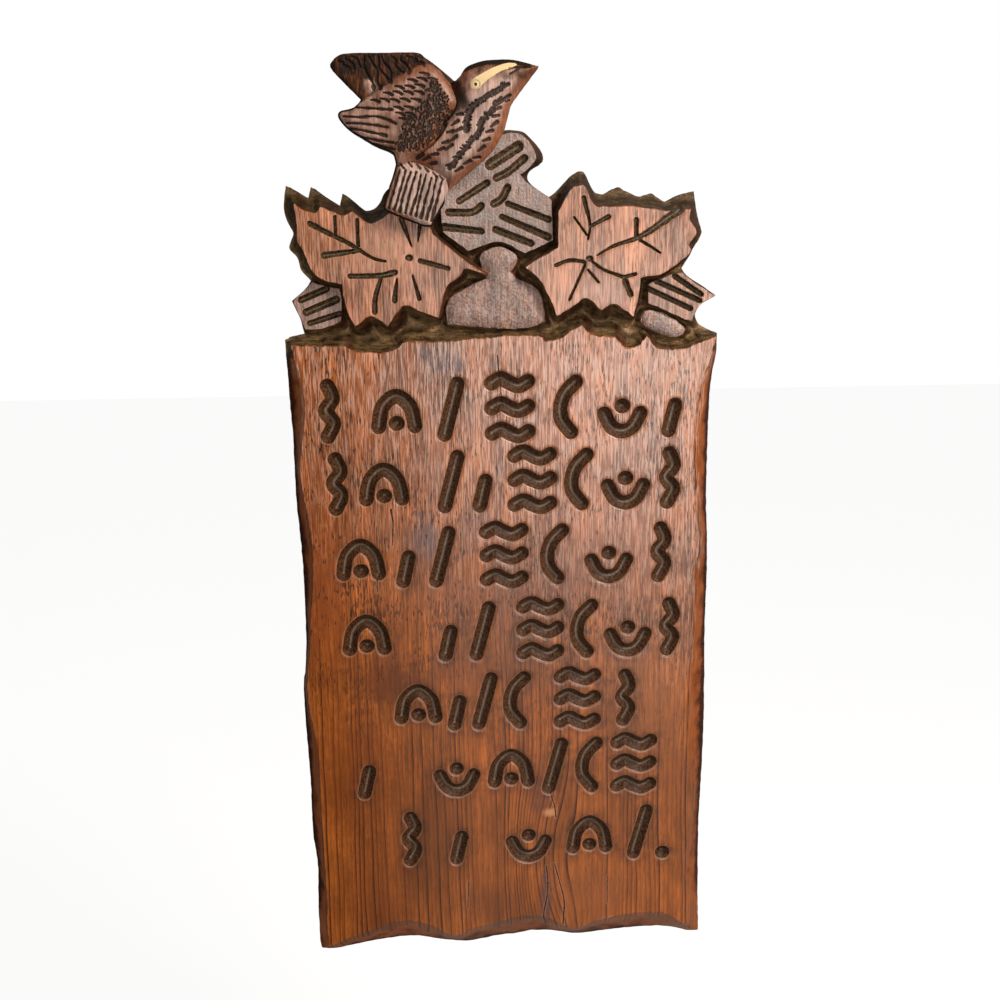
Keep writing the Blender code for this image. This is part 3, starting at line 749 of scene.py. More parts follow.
def border(faces: np.ndarray) -> np.ndarray:
    """The points round the outside of the triangles, in order, anticlockwise.

    Args:
        faces: The triangles.

    Returns:
        The points' numbers.
    """
    steps = np.concatenate([faces[:, [0, 1]], faces[:, [1, 2]], faces[:, [2, 0]]])
    size = int(faces.max()) + 1
    there = steps[:, 0] * size + steps[:, 1]
    back = steps[:, 1] * size + steps[:, 0]
    open_steps = steps[~np.isin(there, back)]
    follow = dict(open_steps.tolist())
    start = int(open_steps[0, 0])
    walk = [start]
    while (ahead := follow[walk[-1]]) != start:
        walk.append(ahead)
    return np.array(walk)


@dataclass
class Board:
    """A board with a worked front: the front's triangles, walls down its sides, and a flat back.

    Attributes:
        name: The piece's name.
        flat: The front's points in X and Z.
        faces: The front's triangles.
        levels: The front's level at each point.
        back: The level of the flat back.
        marks: Values at each front point, by the name that the finish reads them by.
        hewn: How deep the tool marks on the side walls are.
        arris: How far the back's edge is rounded off.
        back_marks: The marks that the plain back has, where they aren't 0.
    """

    name: str
    flat: np.ndarray
    faces: np.ndarray
    levels: np.ndarray
    back: float
    marks: dict
    hewn: float = 0.5
    arris: float = 0.9
    back_marks: dict = field(default_factory=dict)

    def build(self) -> Object:
        """Make the closed mesh, with its marks as point attributes.

        Returns:
            The piece.
        """
        rim = border(self.faces)
        line = self.flat[rim]
        inwards = across(line)
        places = [np.column_stack([self.flat[:, 0], -self.levels, self.flat[:, 1]])]
        faces = [self.faces]
        ring = rim
        first = len(self.flat)
        top = self.levels[rim]
        shares = (0.12, 0.3, 0.5, 0.7, 0.88)
        lower = [(self.back + (top - self.back) * (1 - share), share) for share in shares]
        lower += [(np.full(len(rim), self.back + self.arris), 1.0), (np.full(len(rim), self.back), 1.0)]
        for i, (level, share) in enumerate(lower):
            tool = rumple(np.column_stack([np.arange(len(rim)) * 0.55, level]), 5.5, 40 + len(self.name))
            inset = self.hewn * (0.5 + 0.5 * tool) * 4 * share * (1 - share)
            if i == len(lower) - 1:
                inset = inset + self.arris
            spot = line + inwards * inset[:, None]
            places.append(np.column_stack([spot[:, 0], -level, spot[:, 1]]))
            new = np.arange(first, first + len(rim))
            ahead, new_ahead = np.roll(ring, -1), np.roll(new, -1)
            faces.append(np.column_stack([ring, new, new_ahead]))
            faces.append(np.column_stack([ring, new_ahead, ahead]))
            ring, first = new, first + len(rim)
        faces.append(self.cap(spot, ring))
        mesh = bpy.data.meshes.new(self.name)
        mesh.from_pydata((np.concatenate(places) * MM).tolist(), [], np.concatenate(faces).tolist())
        rings = len(lower)
        for name, values in self.marks.items():
            on_sides = np.tile(values[rim], rings - 1)
            on_back = np.full(len(rim), self.back_marks.get(name, 0.0))
            self.mark(mesh, name, np.concatenate([values, on_sides, on_back]))
        depth = np.concatenate([np.zeros(len(self.flat))] + [np.full(len(rim), share) for _, share in lower])
        self.mark(mesh, "side", depth)
        return placed(self.name, mesh)

    @staticmethod
    def cap(line: np.ndarray, ring: np.ndarray) -> np.ndarray:
        """Triangles that close the back, facing away from the viewer.

        Args:
            line: Places round the back's edge.
            ring: The numbers of these points in the mesh.

        Returns:
            The triangles.
        """
        faces = np.array(tessellate_polygon([[Vector((x, z, 0)) for x, z in line]]))
        first, second, third = (line[faces[:, i]] for i in range(3))
        turn = np.cross(second - first, third - first)
        faces[turn < 0] = faces[turn < 0][:, ::-1]
        return ring[faces[:, ::-1]]

    @staticmethod
    def mark(mesh: Mesh, name: str, values: np.ndarray) -> None:
        """Store a value at each point of the mesh."""
        layer = mesh.attributes.new(name, "FLOAT", "POINT")
        layer.data.foreach_set("value", values.astype(np.float32))


@dataclass(frozen=True)
class Gouge:
    """A tool that follows the lines of cuts over a surface.

    Attributes:
        name: What the tool is.
        bowl: 1 for a V-shaped section, 2 and over for a round one.
        lip: The width of the worn lip beside each cut.
        lip_drop: How far that lip falls at the rim.
        chatter: How deep the tool's chatter marks are.
        stipple: How deep the punch marks are where the surface is marked as stippled.
    """

    name: str
    bowl: float = 1.3
    lip: float = 0.9
    lip_drop: float = 0.28
    chatter: float = 0.16
    stipple: float = 0.0

    def tree(self) -> NodeTree:
        """The Geometry Nodes tree that lowers a surface along the cuts and marks what it cut.

        Returns:
            The tree.
        """
        tree = bpy.data.node_groups.new(self.name, "GeometryNodeTree")
        tree.is_modifier = True
        tree.interface.new_socket("Geometry", in_out="OUTPUT", socket_type="NodeSocketGeometry")
        inputs = {"Geometry": "Geometry", "Cuts": "Object"}
        inputs |= {name: "Float" for name in ("Bowl", "Lip", "Lip Drop", "Chatter", "Stipple", "Step")}
        for name, kind in (inputs | {"Material": "Material"}).items():
            tree.interface.new_socket(name, in_out="INPUT", socket_type=f"NodeSocket{kind}")
        put = add(tree, "NodeGroupInput").outputs

        # The cuts become a dense row of points that carry their half width and depth.
        cuts = add(tree, "GeometryNodeObjectInfo", {"Object": put["Cuts"]}, transform_space="ORIGINAL")
        lines = add(tree, "GeometryNodeMeshToCurve", (cuts.outputs["Geometry"],))
        fine = add(tree, "GeometryNodeResampleCurve", {"Curve": lines, "Length": put["Step"]}, mode="LENGTH")
        dots = add(tree, "GeometryNodeCurveToPoints", (fine,), mode="EVALUATED").outputs[0]
        place = add(tree, "GeometryNodeInputPosition")
        x, _, z = add(tree, "SeparateXYZ", (place,)).outputs
        flat = add(tree, "CombineXYZ", {0: x, 2: z})
        which = add(
            tree, "GeometryNodeSampleNearest", {"Geometry": dots, "Sample Position": flat}, domain="POINT"
        )
        found = []
        for name, kind in (("position", "FLOAT_VECTOR"), ("half_width", "FLOAT"), ("depth", "FLOAT")):
            value = add(tree, "GeometryNodeInputNamedAttribute", (name,), data_type=kind)
            found.append(add(
                tree, "GeometryNodeSampleIndex", {"Geometry": dots, "Value": value, "Index": which},
                data_type=kind, domain="POINT",
            ))
        centre, half, depth = found
        marks = {
            name: add(tree, "GeometryNodeInputNamedAttribute", (name,), data_type="FLOAT")
            for name in ("stipple", "side", "cut", "valley", "lip")
        }

        # The section of the groove, the lip beside it and the line along its valley.
        gap = add(tree, "VectorMath DISTANCE", (flat, centre)).outputs["Value"]
        ratio = add(tree, "Math DIVIDE", (gap, half))
        hollow = add(tree, "Math POWER", (ratio, put["Bowl"]))
        section = add(tree, "Math SUBTRACT", (1.0, hollow), use_clamp=True)
        past = add(tree, "Math SUBTRACT", (gap, half))
        past = add(tree, "Math MAXIMUM", (past, 0.0))
        past = add(tree, "Math DIVIDE", (past, put["Lip"]))
        near = add(tree, "Math SUBTRACT", (1.0, past), use_clamp=True)
        lip = add(tree, "Math POWER", (near, 2.0))
        inner = add(tree, "Math SUBTRACT", (1.0, ratio), use_clamp=True)
        valley = add(tree, "Math POWER", (inner, 4.0))

        # The depth of all that the tool takes, with its chatter in the groove and punch marks on the ground.
        rattle = add(tree, "TexNoise", {"Vector": place, "Scale": 620.0, "Detail": 1.0})
        rattle = add(tree, "Math MULTIPLY", (rattle, put["Chatter"]))
        shallow = add(tree, "Math MINIMUM", (section, 0.5))
        punch = add(tree, "TexNoise", {"Vector": place, "Scale": 1100.0, "Detail": 0.0})
        punch = add(tree, "Math MULTIPLY", (punch, put["Stipple"]))
        drop = add(tree, "Math MULTIPLY", (section, depth))
        for amount, share in ((put["Lip Drop"], lip), (rattle, shallow), (punch, marks["stipple"])):
            drop = add(tree, "Math MULTIPLY_ADD", (amount, share, drop))

        # Only the front is worked, not the side walls or the back.
        front = add(tree, "Math LESS_THAN", (marks["side"], 0.001))
        drop = add(tree, "Math MULTIPLY", (drop, front))
        offset = add(tree, "CombineXYZ", {1: drop})
        shape = add(tree, "GeometryNodeSetPosition", {"Geometry": put["Geometry"], "Offset": offset})
        for name, value in (("cut", section), ("valley", valley), ("lip", lip)):
            value = add(tree, "Math MULTIPLY", (value, front))
            value = add(tree, "Math MAXIMUM", (marks[name], value))
            shape = add(
                tree, "GeometryNodeStoreNamedAttribute", {"Geometry": shape, "Name": name, "Value": value},
                data_type="FLOAT", domain="POINT",
            )
        real = add(tree, "GeometryNodeRealizeInstances", (shape,))
        dressed = add(tree, "GeometryNodeSetMaterial", {"Geometry": real, "Material": put["Material"]})
        add(tree, "NodeGroupOutput", (dressed,))
        return tree

    def work(self, item: Object, cuts: Object, finish: Material) -> None:
        """Put the tool on the piece as a modifier that follows the object of cuts.

        Args:
            item: The piece.
            cuts: The guide that the tool follows.
            finish: The piece's material.
        """
        modifier = item.modifiers.new(self.name, "NODES")
        modifier.node_group = self.tree()
        values = {
            "Cuts": cuts, "Bowl": self.bowl, "Lip": self.lip * MM, "Lip Drop": self.lip_drop * MM,
            "Chatter": self.chatter * MM, "Stipple": self.stipple * MM, "Step": 0.3 * MM, "Material": finish,
        }
        for socket in modifier.node_group.interface.items_tree:
            if socket.in_out == "INPUT" and socket.name in values:
                modifier[socket.identifier] = values[socket.name]


def cut_lines(name: str, cuts: list[Cut]) -> Object:
    """The cuts' centre lines as a guide in the plane Y = 0, with half width and depth at each point.

    Args:
        name: The guide's name.
        cuts: The cuts.

    Returns:
        The guide.
    """
    mesh = bpy.data.meshes.new(name)
    places = []
    pairs = []
    for cut in cuts:
        first = len(places)
        places.extend((x * MM, 0.0, z * MM) for x, z in cut.path)
        pairs.extend((first + i, first + i + 1) for i in range(len(cut.path) - 1))
    mesh.from_pydata(places, pairs, [])
    Board.mark(mesh, "half_width", np.concatenate([cut.half for cut in cuts]) * MM)
    Board.mark(mesh, "depth", np.concatenate([np.full(len(cut.path), cut.depth) for cut in cuts]) * MM)
    return placed(name, mesh)


def settle(item: Object, node: str, finish: Material, crease: float, work: tuple) -> None:
    """Gouge a piece into plain mesh, keep it in its node's box and let it stand for the node.

    Args:
        item: The piece.
        node: The CAD node that it stands for.
        finish: Its material.
        crease: The angle in degrees past which an edge stays sharp.
        work: Each tool, the name of the guide that it follows, and the cuts it makes.
    """
    guides = [cut_lines(name, cuts) for _, name, cuts in work]
    for (tool, _, _), guide in zip(work, guides):
        tool.work(item, guide, finish)
    graph = bpy.context.evaluated_depsgraph_get()
    worked = item.evaluated_get(graph)
    mesh = bpy.data.meshes.new_from_object(worked, preserve_all_data_layers=True, depsgraph=graph)
    item.modifiers.clear()
    item.data = mesh
    low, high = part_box(node)
    places = np.zeros(len(mesh.vertices) * 3, np.float32)
    mesh.vertices.foreach_get("co", places)
    places = np.clip(places.reshape(-1, 3), np.array(low), np.array(high))
    mesh.vertices.foreach_set("co", places.ravel())
    mesh.materials.clear()
    mesh.materials.append(finish)
    mesh.shade_smooth()
    mesh.set_sharp_from_angle(angle=math.radians(crease))
    mesh.update()
    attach(item, "root")
    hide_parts(node)
    for guide in guides:
        bpy.data.objects.remove(guide)
    log.info("%s: %d triangles", item.name, len(item.data.polygons))


def carved(
    flat: np.ndarray, forms: tuple, loops: list, edge: np.ndarray, ground: float, grounds: int
) -> tuple[np.ndarray, np.ndarray, np.ndarray]:
    """The surface of a relief.

    Args:
        flat: Points in X and Z.
        forms: The raised forms.
        loops: The outline of each form.
        edge: The piece's own outline.
        ground: The level between the forms.
        grounds: The form that the bare ground belongs to.

    Returns:
        The level at each point, how far up a wall it is, and which form it belongs to.
    """
    away = [np.where(inside(flat, loop), 0, nearest(flat, loop)) for loop in loops]
    to_edge = nearest(flat, edge)
    level = np.full(len(flat), float(ground))
    height = np.zeros(len(flat))
    owner = np.full(len(flat), grounds)
    for i, (form, loop) in enumerate(zip(forms, loops)):
        top = form.face_level(loop, flat)
        others = np.minimum.reduce([gap for j, gap in enumerate(away) if j != i])
        room = np.minimum(away[i] + to_edge, WALL_SHARE * (away[i] + others))
        run = np.clip(room, (top - ground) / STEEPEST_WALL, form.widest_wall)
        fall = np.clip(1 - away[i] / run, 0, 1)
        cove = form.cove
        if form.outline is PANEL_FACE:
            cove = 1 + (form.cove - 1) * smooth(50, 60, flat[:, 1])
        mine = ground + (top - ground) * fall**cove
        higher = mine > level
        level = np.where(higher, mine, level)
        height = np.where(higher, fall, height)
        owner = np.where(higher, i, owner)
    return level, height, owner


@dataclass
class CarvedPlank:
    """The plank: its panel with the rows of strokes, and the crest of leaves above it.

    Attributes:
        pitch: How far apart the points of the worked wood are.
        swerve: How far the knife swerves along an outline.
        ragged: How ragged the panel's top edge is.
        scallop: How deep the hewn scallops of the panel's bevels are.
        clods: How uneven the ground between the forms is.
        crumbs: How uneven it is on a smaller scale.
        waves: How deep the waves are that the plane left on the faces.
    """

    pitch: float = 0.98
    swerve: float = 0.35
    ragged: float = 0.75
    scallop: float = 1.1
    clods: float = 0.9
    crumbs: float = 0.3
    waves: float = 0.16
    name: str = "carved_plank_visual"

    def forms(self) -> tuple[Form, ...]:
        """Every raised form of the plank, the panel first.

        Returns:
            The forms.
        """
        return (
            Form(PANEL_FACE, PLANK_THICKNESS, widest_wall=30),
            Form(LEFT_LEAF, PLANK_THICKNESS, wall_stain=0.97, blush=1.0),
            Form(RIGHT_LEAF, PLANK_THICKNESS, wall_stain=0.95, blush=1.0),
            Form(CENTRE_LEAF, CENTRE_LEAF_LEVEL, wall_stain=0.9, ash=1.0, blush=0.6, stipple=0.12),
            Form(MOUND, MOUND_LEVEL, crown=3, shoulder=10, wall_stain=0.85, ash=0.75, blush=1.0, stipple=0.6),
            Form(LEFT_SIDE_LEAF, SIDE_LEAF_LEVEL, wall_stain=0.95, ash=0.75, blush=0.8, stipple=0.1),
            Form(RIGHT_SIDE_LEAF, SIDE_LEAF_LEVEL, wall_stain=0.9, ash=0.45, blush=1.0, stipple=0.1),
            Form(PEBBLE, PEBBLE_LEVEL, crown=2, shoulder=5, wall_stain=1.0, ash=0.9, stipple=0.4),
            Form(BIRD_SEAT, PLANK_THICKNESS),
        )

    def cuts(self) -> tuple[list[Cut], list[Cut], list[Cut]]:
        """The strokes of the rows, the cuts in the leaves, and the drying cracks.

        Returns:
            The cuts of each of the three tools.
        """
        leaf = [gouged(*cut, 2.2, 0.16, 50 + i) for i, cut in enumerate(LEAF_CUTS)]
        leaf += [gouged(*cut, 3.0, 0.07, 80 + i) for i, cut in enumerate(HATCH_CUTS)]
        cracks = [gouged(*cut, 0.8, 0.3, 110 + i) for i, cut in enumerate(CRACKS)]
        return row_cuts(), leaf, cracks

    def loose_points(
        self, edge: np.ndarray, loops: list, forms: tuple, cuts: list, drawn: list
    ) -> np.ndarray:
        """Points between the lines: close together in worked wood, and wide apart on plain faces.

        Args:
            edge: The plank's outline.
            loops: The outline of each form.
            forms: The raised forms.
            cuts: All cuts.
            drawn: The points that lines run through.

        Returns:
            The points.
        """
        grid, sieve = honeycomb(edge.min(axis=0), edge.max(axis=0), self.pitch)
        kept = inside(grid, edge)
        grid, sieve = grid[kept], sieve[kept]
        faces = [inside(grid, loop) for form, loop in zip(forms, loops) if form.stipple == 0]
        cut_gaps = [nearest(grid, cut.path, closed=False, reach=20.0) - cut.half.mean() for cut in cuts]
        cut_gap = np.minimum.reduce(cut_gaps)
        gap = np.minimum.reduce([cut_gap] + [nearest(grid, loop, reach=12.0) for loop in loops])
        on_face = np.where(gap < 1.6, 0, np.where(gap < 5, 1, 2))
        off_face = np.where(grid[:, 1] > CREST_FOOT, 0, 1)
        need = np.where(np.logical_or.reduce(faces), on_face, off_face)
        grid = grid[(sieve >= need) & (cut_gap > 1.0)]
        tree = kdtree.KDTree(len(drawn))
        for i, (x, z) in enumerate(drawn):
            tree.insert((x, z, 0), i)
        tree.balance()
        far = np.array([tree.find((x, z, 0))[2] for x, z in grid])
        return grid[far > self.pitch * 0.5]

    def hewn(
        self, flat: np.ndarray, level: np.ndarray, height: np.ndarray, bevel: np.ndarray, low: np.ndarray
    ) -> np.ndarray:
        """The level with the tools' traces: scallops on the bevel, clods on low ground, waves on faces.

        Args:
            flat: Places in X and Z.
            level: The level at each point.
            height: How far up a wall each is.
            bevel: Whether each is on the panel's bevel.
            low: How far each is on low ground.

        Returns:
            The new level at each point.
        """
        scallops = np.abs(rumple(flat, 15, 3, 1.6)) * 4 * height * (1 - height)
        level = level - np.where(bevel, self.scallop * scallops, 0)
        level = level - self.clods * low * (0.5 + 0.5 * rumple(flat, 7, 4, 0.4))
        level = level - self.crumbs * low * rumple(flat, 2.6, 14, 0.6)
        return level - self.waves * (0.5 + 0.5 * rumple(flat, 16, 5, 5)) * (height >= 1)

    def marks(
        self, flat: np.ndarray, forms: tuple, strokes: list, height: np.ndarray, owner: np.ndarray,
        bevel: np.ndarray, low: np.ndarray,
    ) -> dict:
        """How far each part of the finish goes at each point.

        Args:
            flat: The points in X and Z.
            forms: The raised forms.
            strokes: The strokes of the rows.
            height: How far up a wall each point is, 1 on a face.
            owner: Which form it belongs to.
            bevel: Whether it is on the panel's hewn bevel.
            low: How far it is on the low ground of the crest.

        Returns:
            The values by the name that the finish reads them by.
        """
        x, z = flat[:, 0], flat[:, 1]
        crest = smooth(50, 58, z)
        on_panel = owner == 0
        wall_stain, ash, blush, stipple = (
            np.array([getattr(form, name) for form in forms])[owner]
            for name in ("wall_stain", "ash", "blush", "stipple")
        )
        foot = smooth(-345, -365, z)
        # Bevel stain with painted light: darker on the left, away from the light, paler right and at the
        # foot.
        bevel_stain_and_painted_light = 0.55 - 0.1 * smooth(-100, -132, x) - 0.25 * smooth(100, 130, x) - 0.26 * foot
        wall_stain = np.where(on_panel, crest + (1 - crest) * bevel_stain_and_painted_light, wall_stain)
        worn = 0.035 * rumple(flat, 6, 6)
        start = np.where(on_panel & (z < CREST_FOOT), 0.2, 0.86)
        stain = wall_stain * (1 - smooth(0, 1, (height - start + worn) / (0.995 - start)))
        stain = stain + (0.4 - 0.25 * foot) * bevel * (1 - smooth(0, 0.3, height))
        stain = np.where(height < 1, stain, 0)
        gaps = [nearest(flat, cut.path, closed=False, reach=18.0) for cut in strokes]
        stroke_gap = np.minimum.reduce(gaps) - STROKE_WIDTH / 2
        return {
            "stain": np.maximum(stain, low),
            "ground": low,
            "bevel": on_panel * (1 - crest),
            "ash": ash * smooth(0.9, 1.0, height),
            "blush": blush * (height >= 1),
            "halo": smooth(8.0, 0.0, stroke_gap) * smooth(0, -170, z),
            "stipple": np.maximum.reduce([
                stipple, low * 0.9, np.where(on_panel & (height < 0.97), crest, 0),
                0.25 * crest * (height < 0.95),
            ]),
        }

    def build(self, finish: Material) -> Object:
        """Make the plank's mesh, gouge its cuts and dress it.

        Args:
            finish: The wood's material.

        Returns:
            The finished piece, which stands for the node carved_plank.
        """
        forms = self.forms()
        low_corner, high_corner = flat_box("carved_plank")
        edge = np.clip(whittled(flowing(PLANK_EDGE, 2.0), 0.22, 5, 1), low_corner, high_corner)
        loops = [
            whittled(flowing(form.outline, 1.9), self.swerve, 4.5, 2 + i) for i, form in enumerate(forms)
        ]
        ragged = rumple(loops[0], 2.4, 12) * self.ragged * smooth(50, 55, loops[0][:, 1])
        loops[0] = loops[0] + across(loops[0]) * ragged[:, None]
        strokes, leaf, cracks = self.cuts()
        drawing = Drawing(edge)
        for loop in loops:
            drawing.line(loop, True)
        for cuts, shares, lip in (
            (strokes, (1.0, 0.86, 0.62, 0.34), 0.9), (leaf, (1.0, 0.55), 0.5), (cracks, (1.0,), 0.0)
        ):
            for cut in cuts:
                drawing.cut(cut, shares, lip)
        drawing.loose(self.loose_points(edge, loops, forms, strokes + leaf + cracks, drawing.points))
        flat, faces = drawing.triangles()
        level, height, owner = carved(flat, forms, loops, edge, GROUND, 0)
        bevel = (owner == 0) & (flat[:, 1] < 56) & (height < 1)
        low = (1 - smooth(0.0, 0.45, height)) * smooth(50, 58, flat[:, 1])
        level = self.hewn(flat, level, height, bevel, low)
        marks = self.marks(flat, forms, strokes, height, owner, bevel, low)
        item = Board(self.name, flat, faces, level, 0, marks).build()
        row_gouge = Gouge("row_gouge", bowl=1.35, stipple=0.75)
        leaf_gouge = Gouge("leaf_gouge", bowl=1.9, lip=0.6, lip_drop=0.15, chatter=0.3)
        crack_knife = Gouge("crack_knife", bowl=1.0, lip=0.3, lip_drop=0.05, chatter=0.0)
        work = (
            (row_gouge, "row_strokes", strokes), (leaf_gouge, "leaf_cuts", leaf),
            (crack_knife, "cracks", cracks),
        )
        settle(item, "carved_plank", finish, 40, work)
        return item


@dataclass
class GluedBird:
    """The bird: head and body, the wing in front, the tail, and the far wing set back behind them.

    Attributes:
        pitch: How far apart the points of the mesh are.
        nick_length: The length of one feather nick.
        nick_spacing: How far apart the nicks of a row are.
        rough_pitch: How far apart the short cuts of the wing's rough zone are.
        tail_grooves: How many grooves run down the tail.
        waves: How deep the waves are that the knife left on the faces.
    """

    pitch: float = 0.38
    nick_length: float = 5.2
    nick_spacing: float = 6.3
    rough_pitch: float = 2.0
    tail_grooves: int = 9
    waves: float = 0.18
    name: str = "bird_visual"

    def forms(self) -> tuple[Form, ...]:
        """The bird's raised forms: the body, the near wing, the tail and the far wing.

        Returns:
            The forms.
        """
        return (
            Form(BODY, BIRD_TOP - 1, 3, 1, crown=7, shoulder=11, low_at=(-50, 160), low_by=5, low_over=60),
            Form(NEAR_WING, BIRD_TOP, 3, 1, crown=3, shoulder=7, low_at=(-104, 198), low_by=7, low_over=60),
            Form(TAIL, BIRD_TOP - 6, 3, 1, crown=3, shoulder=5, low_at=(-60, 134), low_by=3, low_over=40),
            Form(FAR_WING, BIRD_TOP - 10, 3, 1, crown=2, shoulder=4),
        )

    def wing_nicks(self) -> list[Cut]:
        """Wedge-shaped nicks in rows over the near wing, each falling a little to the right.

        Returns:
            The cuts.
        """
        cuts = []
        for z, first, last in NICK_ROWS:
            x = first
            while x <= last + 1:
                drift = 0.5 * math.sin(5 * x + z)
                high = z + drift
                path = ((x, high + 0.8), (x + 2.6, high + 0.5), (x + self.nick_length, high - 0.6))
                cuts.append(gouged(path, 1.1, 3.1, 1.1, 0.15, 200 + len(cuts)))
                x += self.nick_spacing * (1 + 0.08 * math.sin(3 * x))
        return cuts

    def rough_cuts(self) -> list[Cut]:
        """Short crossing cuts that leave the middle of the near wing ragged.

        Returns:
            The cuts.
        """
        zone = flowing(ROUGH_ZONE, 2.0)
        spots, _ = honeycomb(zone.min(axis=0), zone.max(axis=0), self.rough_pitch)
        chance = np.random.default_rng(7)
        spots = spots[inside(spots, zone)] + chance.normal(0, 0.8, (inside(spots, zone).sum(), 2))
        cuts = []
        for x, z in spots:
            lean = math.radians(chance.normal(64, 22))
            reach = chance.uniform(0.7, 1.6)
            bend = chance.normal(0, 0.4)
            dx, dz = math.cos(lean) * reach, math.sin(lean) * reach
            path = ((x - dx, z - dz), (x + bend, z), (x + dx, z + dz))
            wide = chance.uniform(1.1, 2.0)
            cuts.append(gouged(path, wide, wide * 0.8, chance.uniform(0.6, 1.1), 0.2, len(cuts)))
        return cuts

    def tail_cuts(self) -> list[Cut]:
        """Ragged grooves down the tail, which fan out a little.

        Returns:
            The cuts.
        """
        cuts = []
        for i in range(self.tail_grooves):
            share = (i + 0.5) / self.tail_grooves
            top_x, top_z = -65 + 29 * share, 169 - 7 * share + 1.2 * math.sin(3 * i)
            foot_x, foot_z = -73 + 30 * share, 146 - 9 * share
            middle = ((top_x + foot_x) / 2 + 0.5 * math.sin(2 * i), (top_z + foot_z) / 2)
            cuts.append(gouged(((top_x, top_z), middle, (foot_x, foot_z)), 1.5, 2.3, 1.3, 0.5, 500 + 7 * i))
        return cuts

    def belly_cuts(self) -> list[Cut]:
        """Nicks on the belly, ragged nicks beside its two long grooves, and nicks where the tail starts.

        Returns:
            The cuts.
        """
        cuts = []
        for i, (x, z) in enumerate(BELLY_NICKS):
            rise = 0.8 + 0.6 * math.sin(4 * i)
            cuts.append(gouged(((x - 2.1, z - rise), (x + 1.9, z + rise)), 1.7, 3.0, 1.2, 0.25, 300 + i))
        for i, (x, z) in enumerate(TAIL_NICKS):
            cuts.append(gouged(((x - 1.2, z + 1.8), (x + 0.9, z - 0.8)), 1.2, 2.0, 0.9, 0.2, 330 + i))
        chance = np.random.default_rng(11)
        for points, _, _ in BELLY_GROOVES:
            line = flowing(points, 1.7, closed=False)[2:]
            for (x, z), (aside_x, aside_z) in zip(line, across(line, closed=False)):
                aside = chance.choice((-1, 1)) * chance.uniform(1.4, 2.1)
                lean = math.radians(chance.normal(30, 30))
                reach = chance.uniform(0.3, 0.8)
                x, z = x + aside_x * aside, z + aside_z * aside
                dx, dz = math.cos(lean) * reach, math.sin(lean) * reach
                wide = chance.uniform(1.4, 2.4)
                path = ((x - dx, z - dz), (x + dx, z + dz))
                cuts.append(gouged(path, wide, wide * 0.8, 0.9, 0.2, 340 + len(cuts)))
        return cuts

    def far_cuts(self) -> list[Cut]:
        """Long wavy gouges down the far wing.

        Returns:
            The cuts.
        """
        cuts = []
        for i, x in enumerate(np.arange(-99, -48, 4.6)):
            x = x + 0.9 * math.sin(5 * i)
            low = max(205 + (x + 91) * 0.49 + 4.5, 209 if x > -90 else 226) + 2 + 2 * math.sin(3 * i)
            high = 235 if x > -96 else 232
            fall = (low - high) / 4
            places = [
                (x + 1.3 * math.sin(2.7 * i + 1.9 * k) + 1.6 * k, high + fall * k) for k in range(5)
            ]
            cuts.append(gouged(tuple(places), 1.6, 2.6, 0.8, 0.6, 400 + i))
        return cuts

    def marks(self, flat: np.ndarray, owner: np.ndarray, loops: list, edge: np.ndarray) -> dict:
        """Each finish of the bird at each point: paint, dark stain, painted shade, bare orange and pink.

        Args:
            flat: Places in X and Z.
            owner: The number of the form that each belongs to.
            loops: The outline of each form.
            edge: The bird's outline.

        Returns:
            The values of each mark, by its name.
        """
        x, z = flat[:, 0], flat[:, 1]
        patch = flowing(CREAM_PATCH, 0.6)
        eye_gap = np.linalg.norm(flat - np.array(EYE), axis=1)
        cream = np.where(inside(flat, patch), 1, 1 - nearest(flat, patch, reach=5.0) / 0.5)
        cream = np.maximum(cream, smooth(2.9, 2.4, eye_gap))
        to_edge = nearest(flat, edge, reach=12.0)
        to_wing = nearest(flat, loops[1], reach=12.0)
        band = (owner == 1) * smooth(7.0, 1.5, to_wing) * smooth(-74, -58, x) * smooth(176, 196, z - x * 0.2)
        flank = (owner == 0) * smooth(8.5, 1.5, to_edge) * smooth(-44, -30, x)
        tail = (owner == 2) * smooth(4.5, 2.0, to_edge) * smooth(-52, -60, x)
        rump = (owner == 0) * smooth(8, 4, np.linalg.norm((flat - (-50, 174)) / (1.6, 1), axis=1))
        beak = smooth(12, 19, x) * smooth(231, 227, z)
        # Painted shade on the nape beside the near wing, and along the head's top rim.
        painted_nape_shade = (owner == 0) * smooth(12.0, 4.0, to_wing) * smooth(195, 206, z) * smooth(-14, -21, x)
        crown = (owner == 0) * smooth(4.6, 2.0, to_edge) * smooth(222, 227, z) * smooth(21, 16, x)
        cheek = (owner == 0) * smooth(217, 222, z) * 0.45
        # Painted shade along the bird's left rim, away from the light, and in a thin line beside the near
        # wing.
        painted_left_rim_shade = smooth(1.7, 0.7, to_edge) * (x < -36)
        painted_wing_seam_shade = (owner != 1) * smooth(2.6, 0.8, to_wing)
        zone = flowing(ROUGH_ZONE, 2.0)
        rough = np.where(inside(flat, zone), 1, smooth(5.0, 0.0, nearest(flat, zone, reach=6.0)))
        umber = np.maximum(rough * (owner == 1) * 0.8, painted_nape_shade * 0.9)
        knot = np.exp(-((x + 80.5) ** 2 + (z - 217.5) ** 2) / 14) * (owner == 3)
        belly = [flowing(points, 2.0, closed=False) for points, _, _ in BELLY_GROOVES]
        belly_gap = np.minimum.reduce([nearest(flat, line, closed=False, reach=12.0) for line in belly])
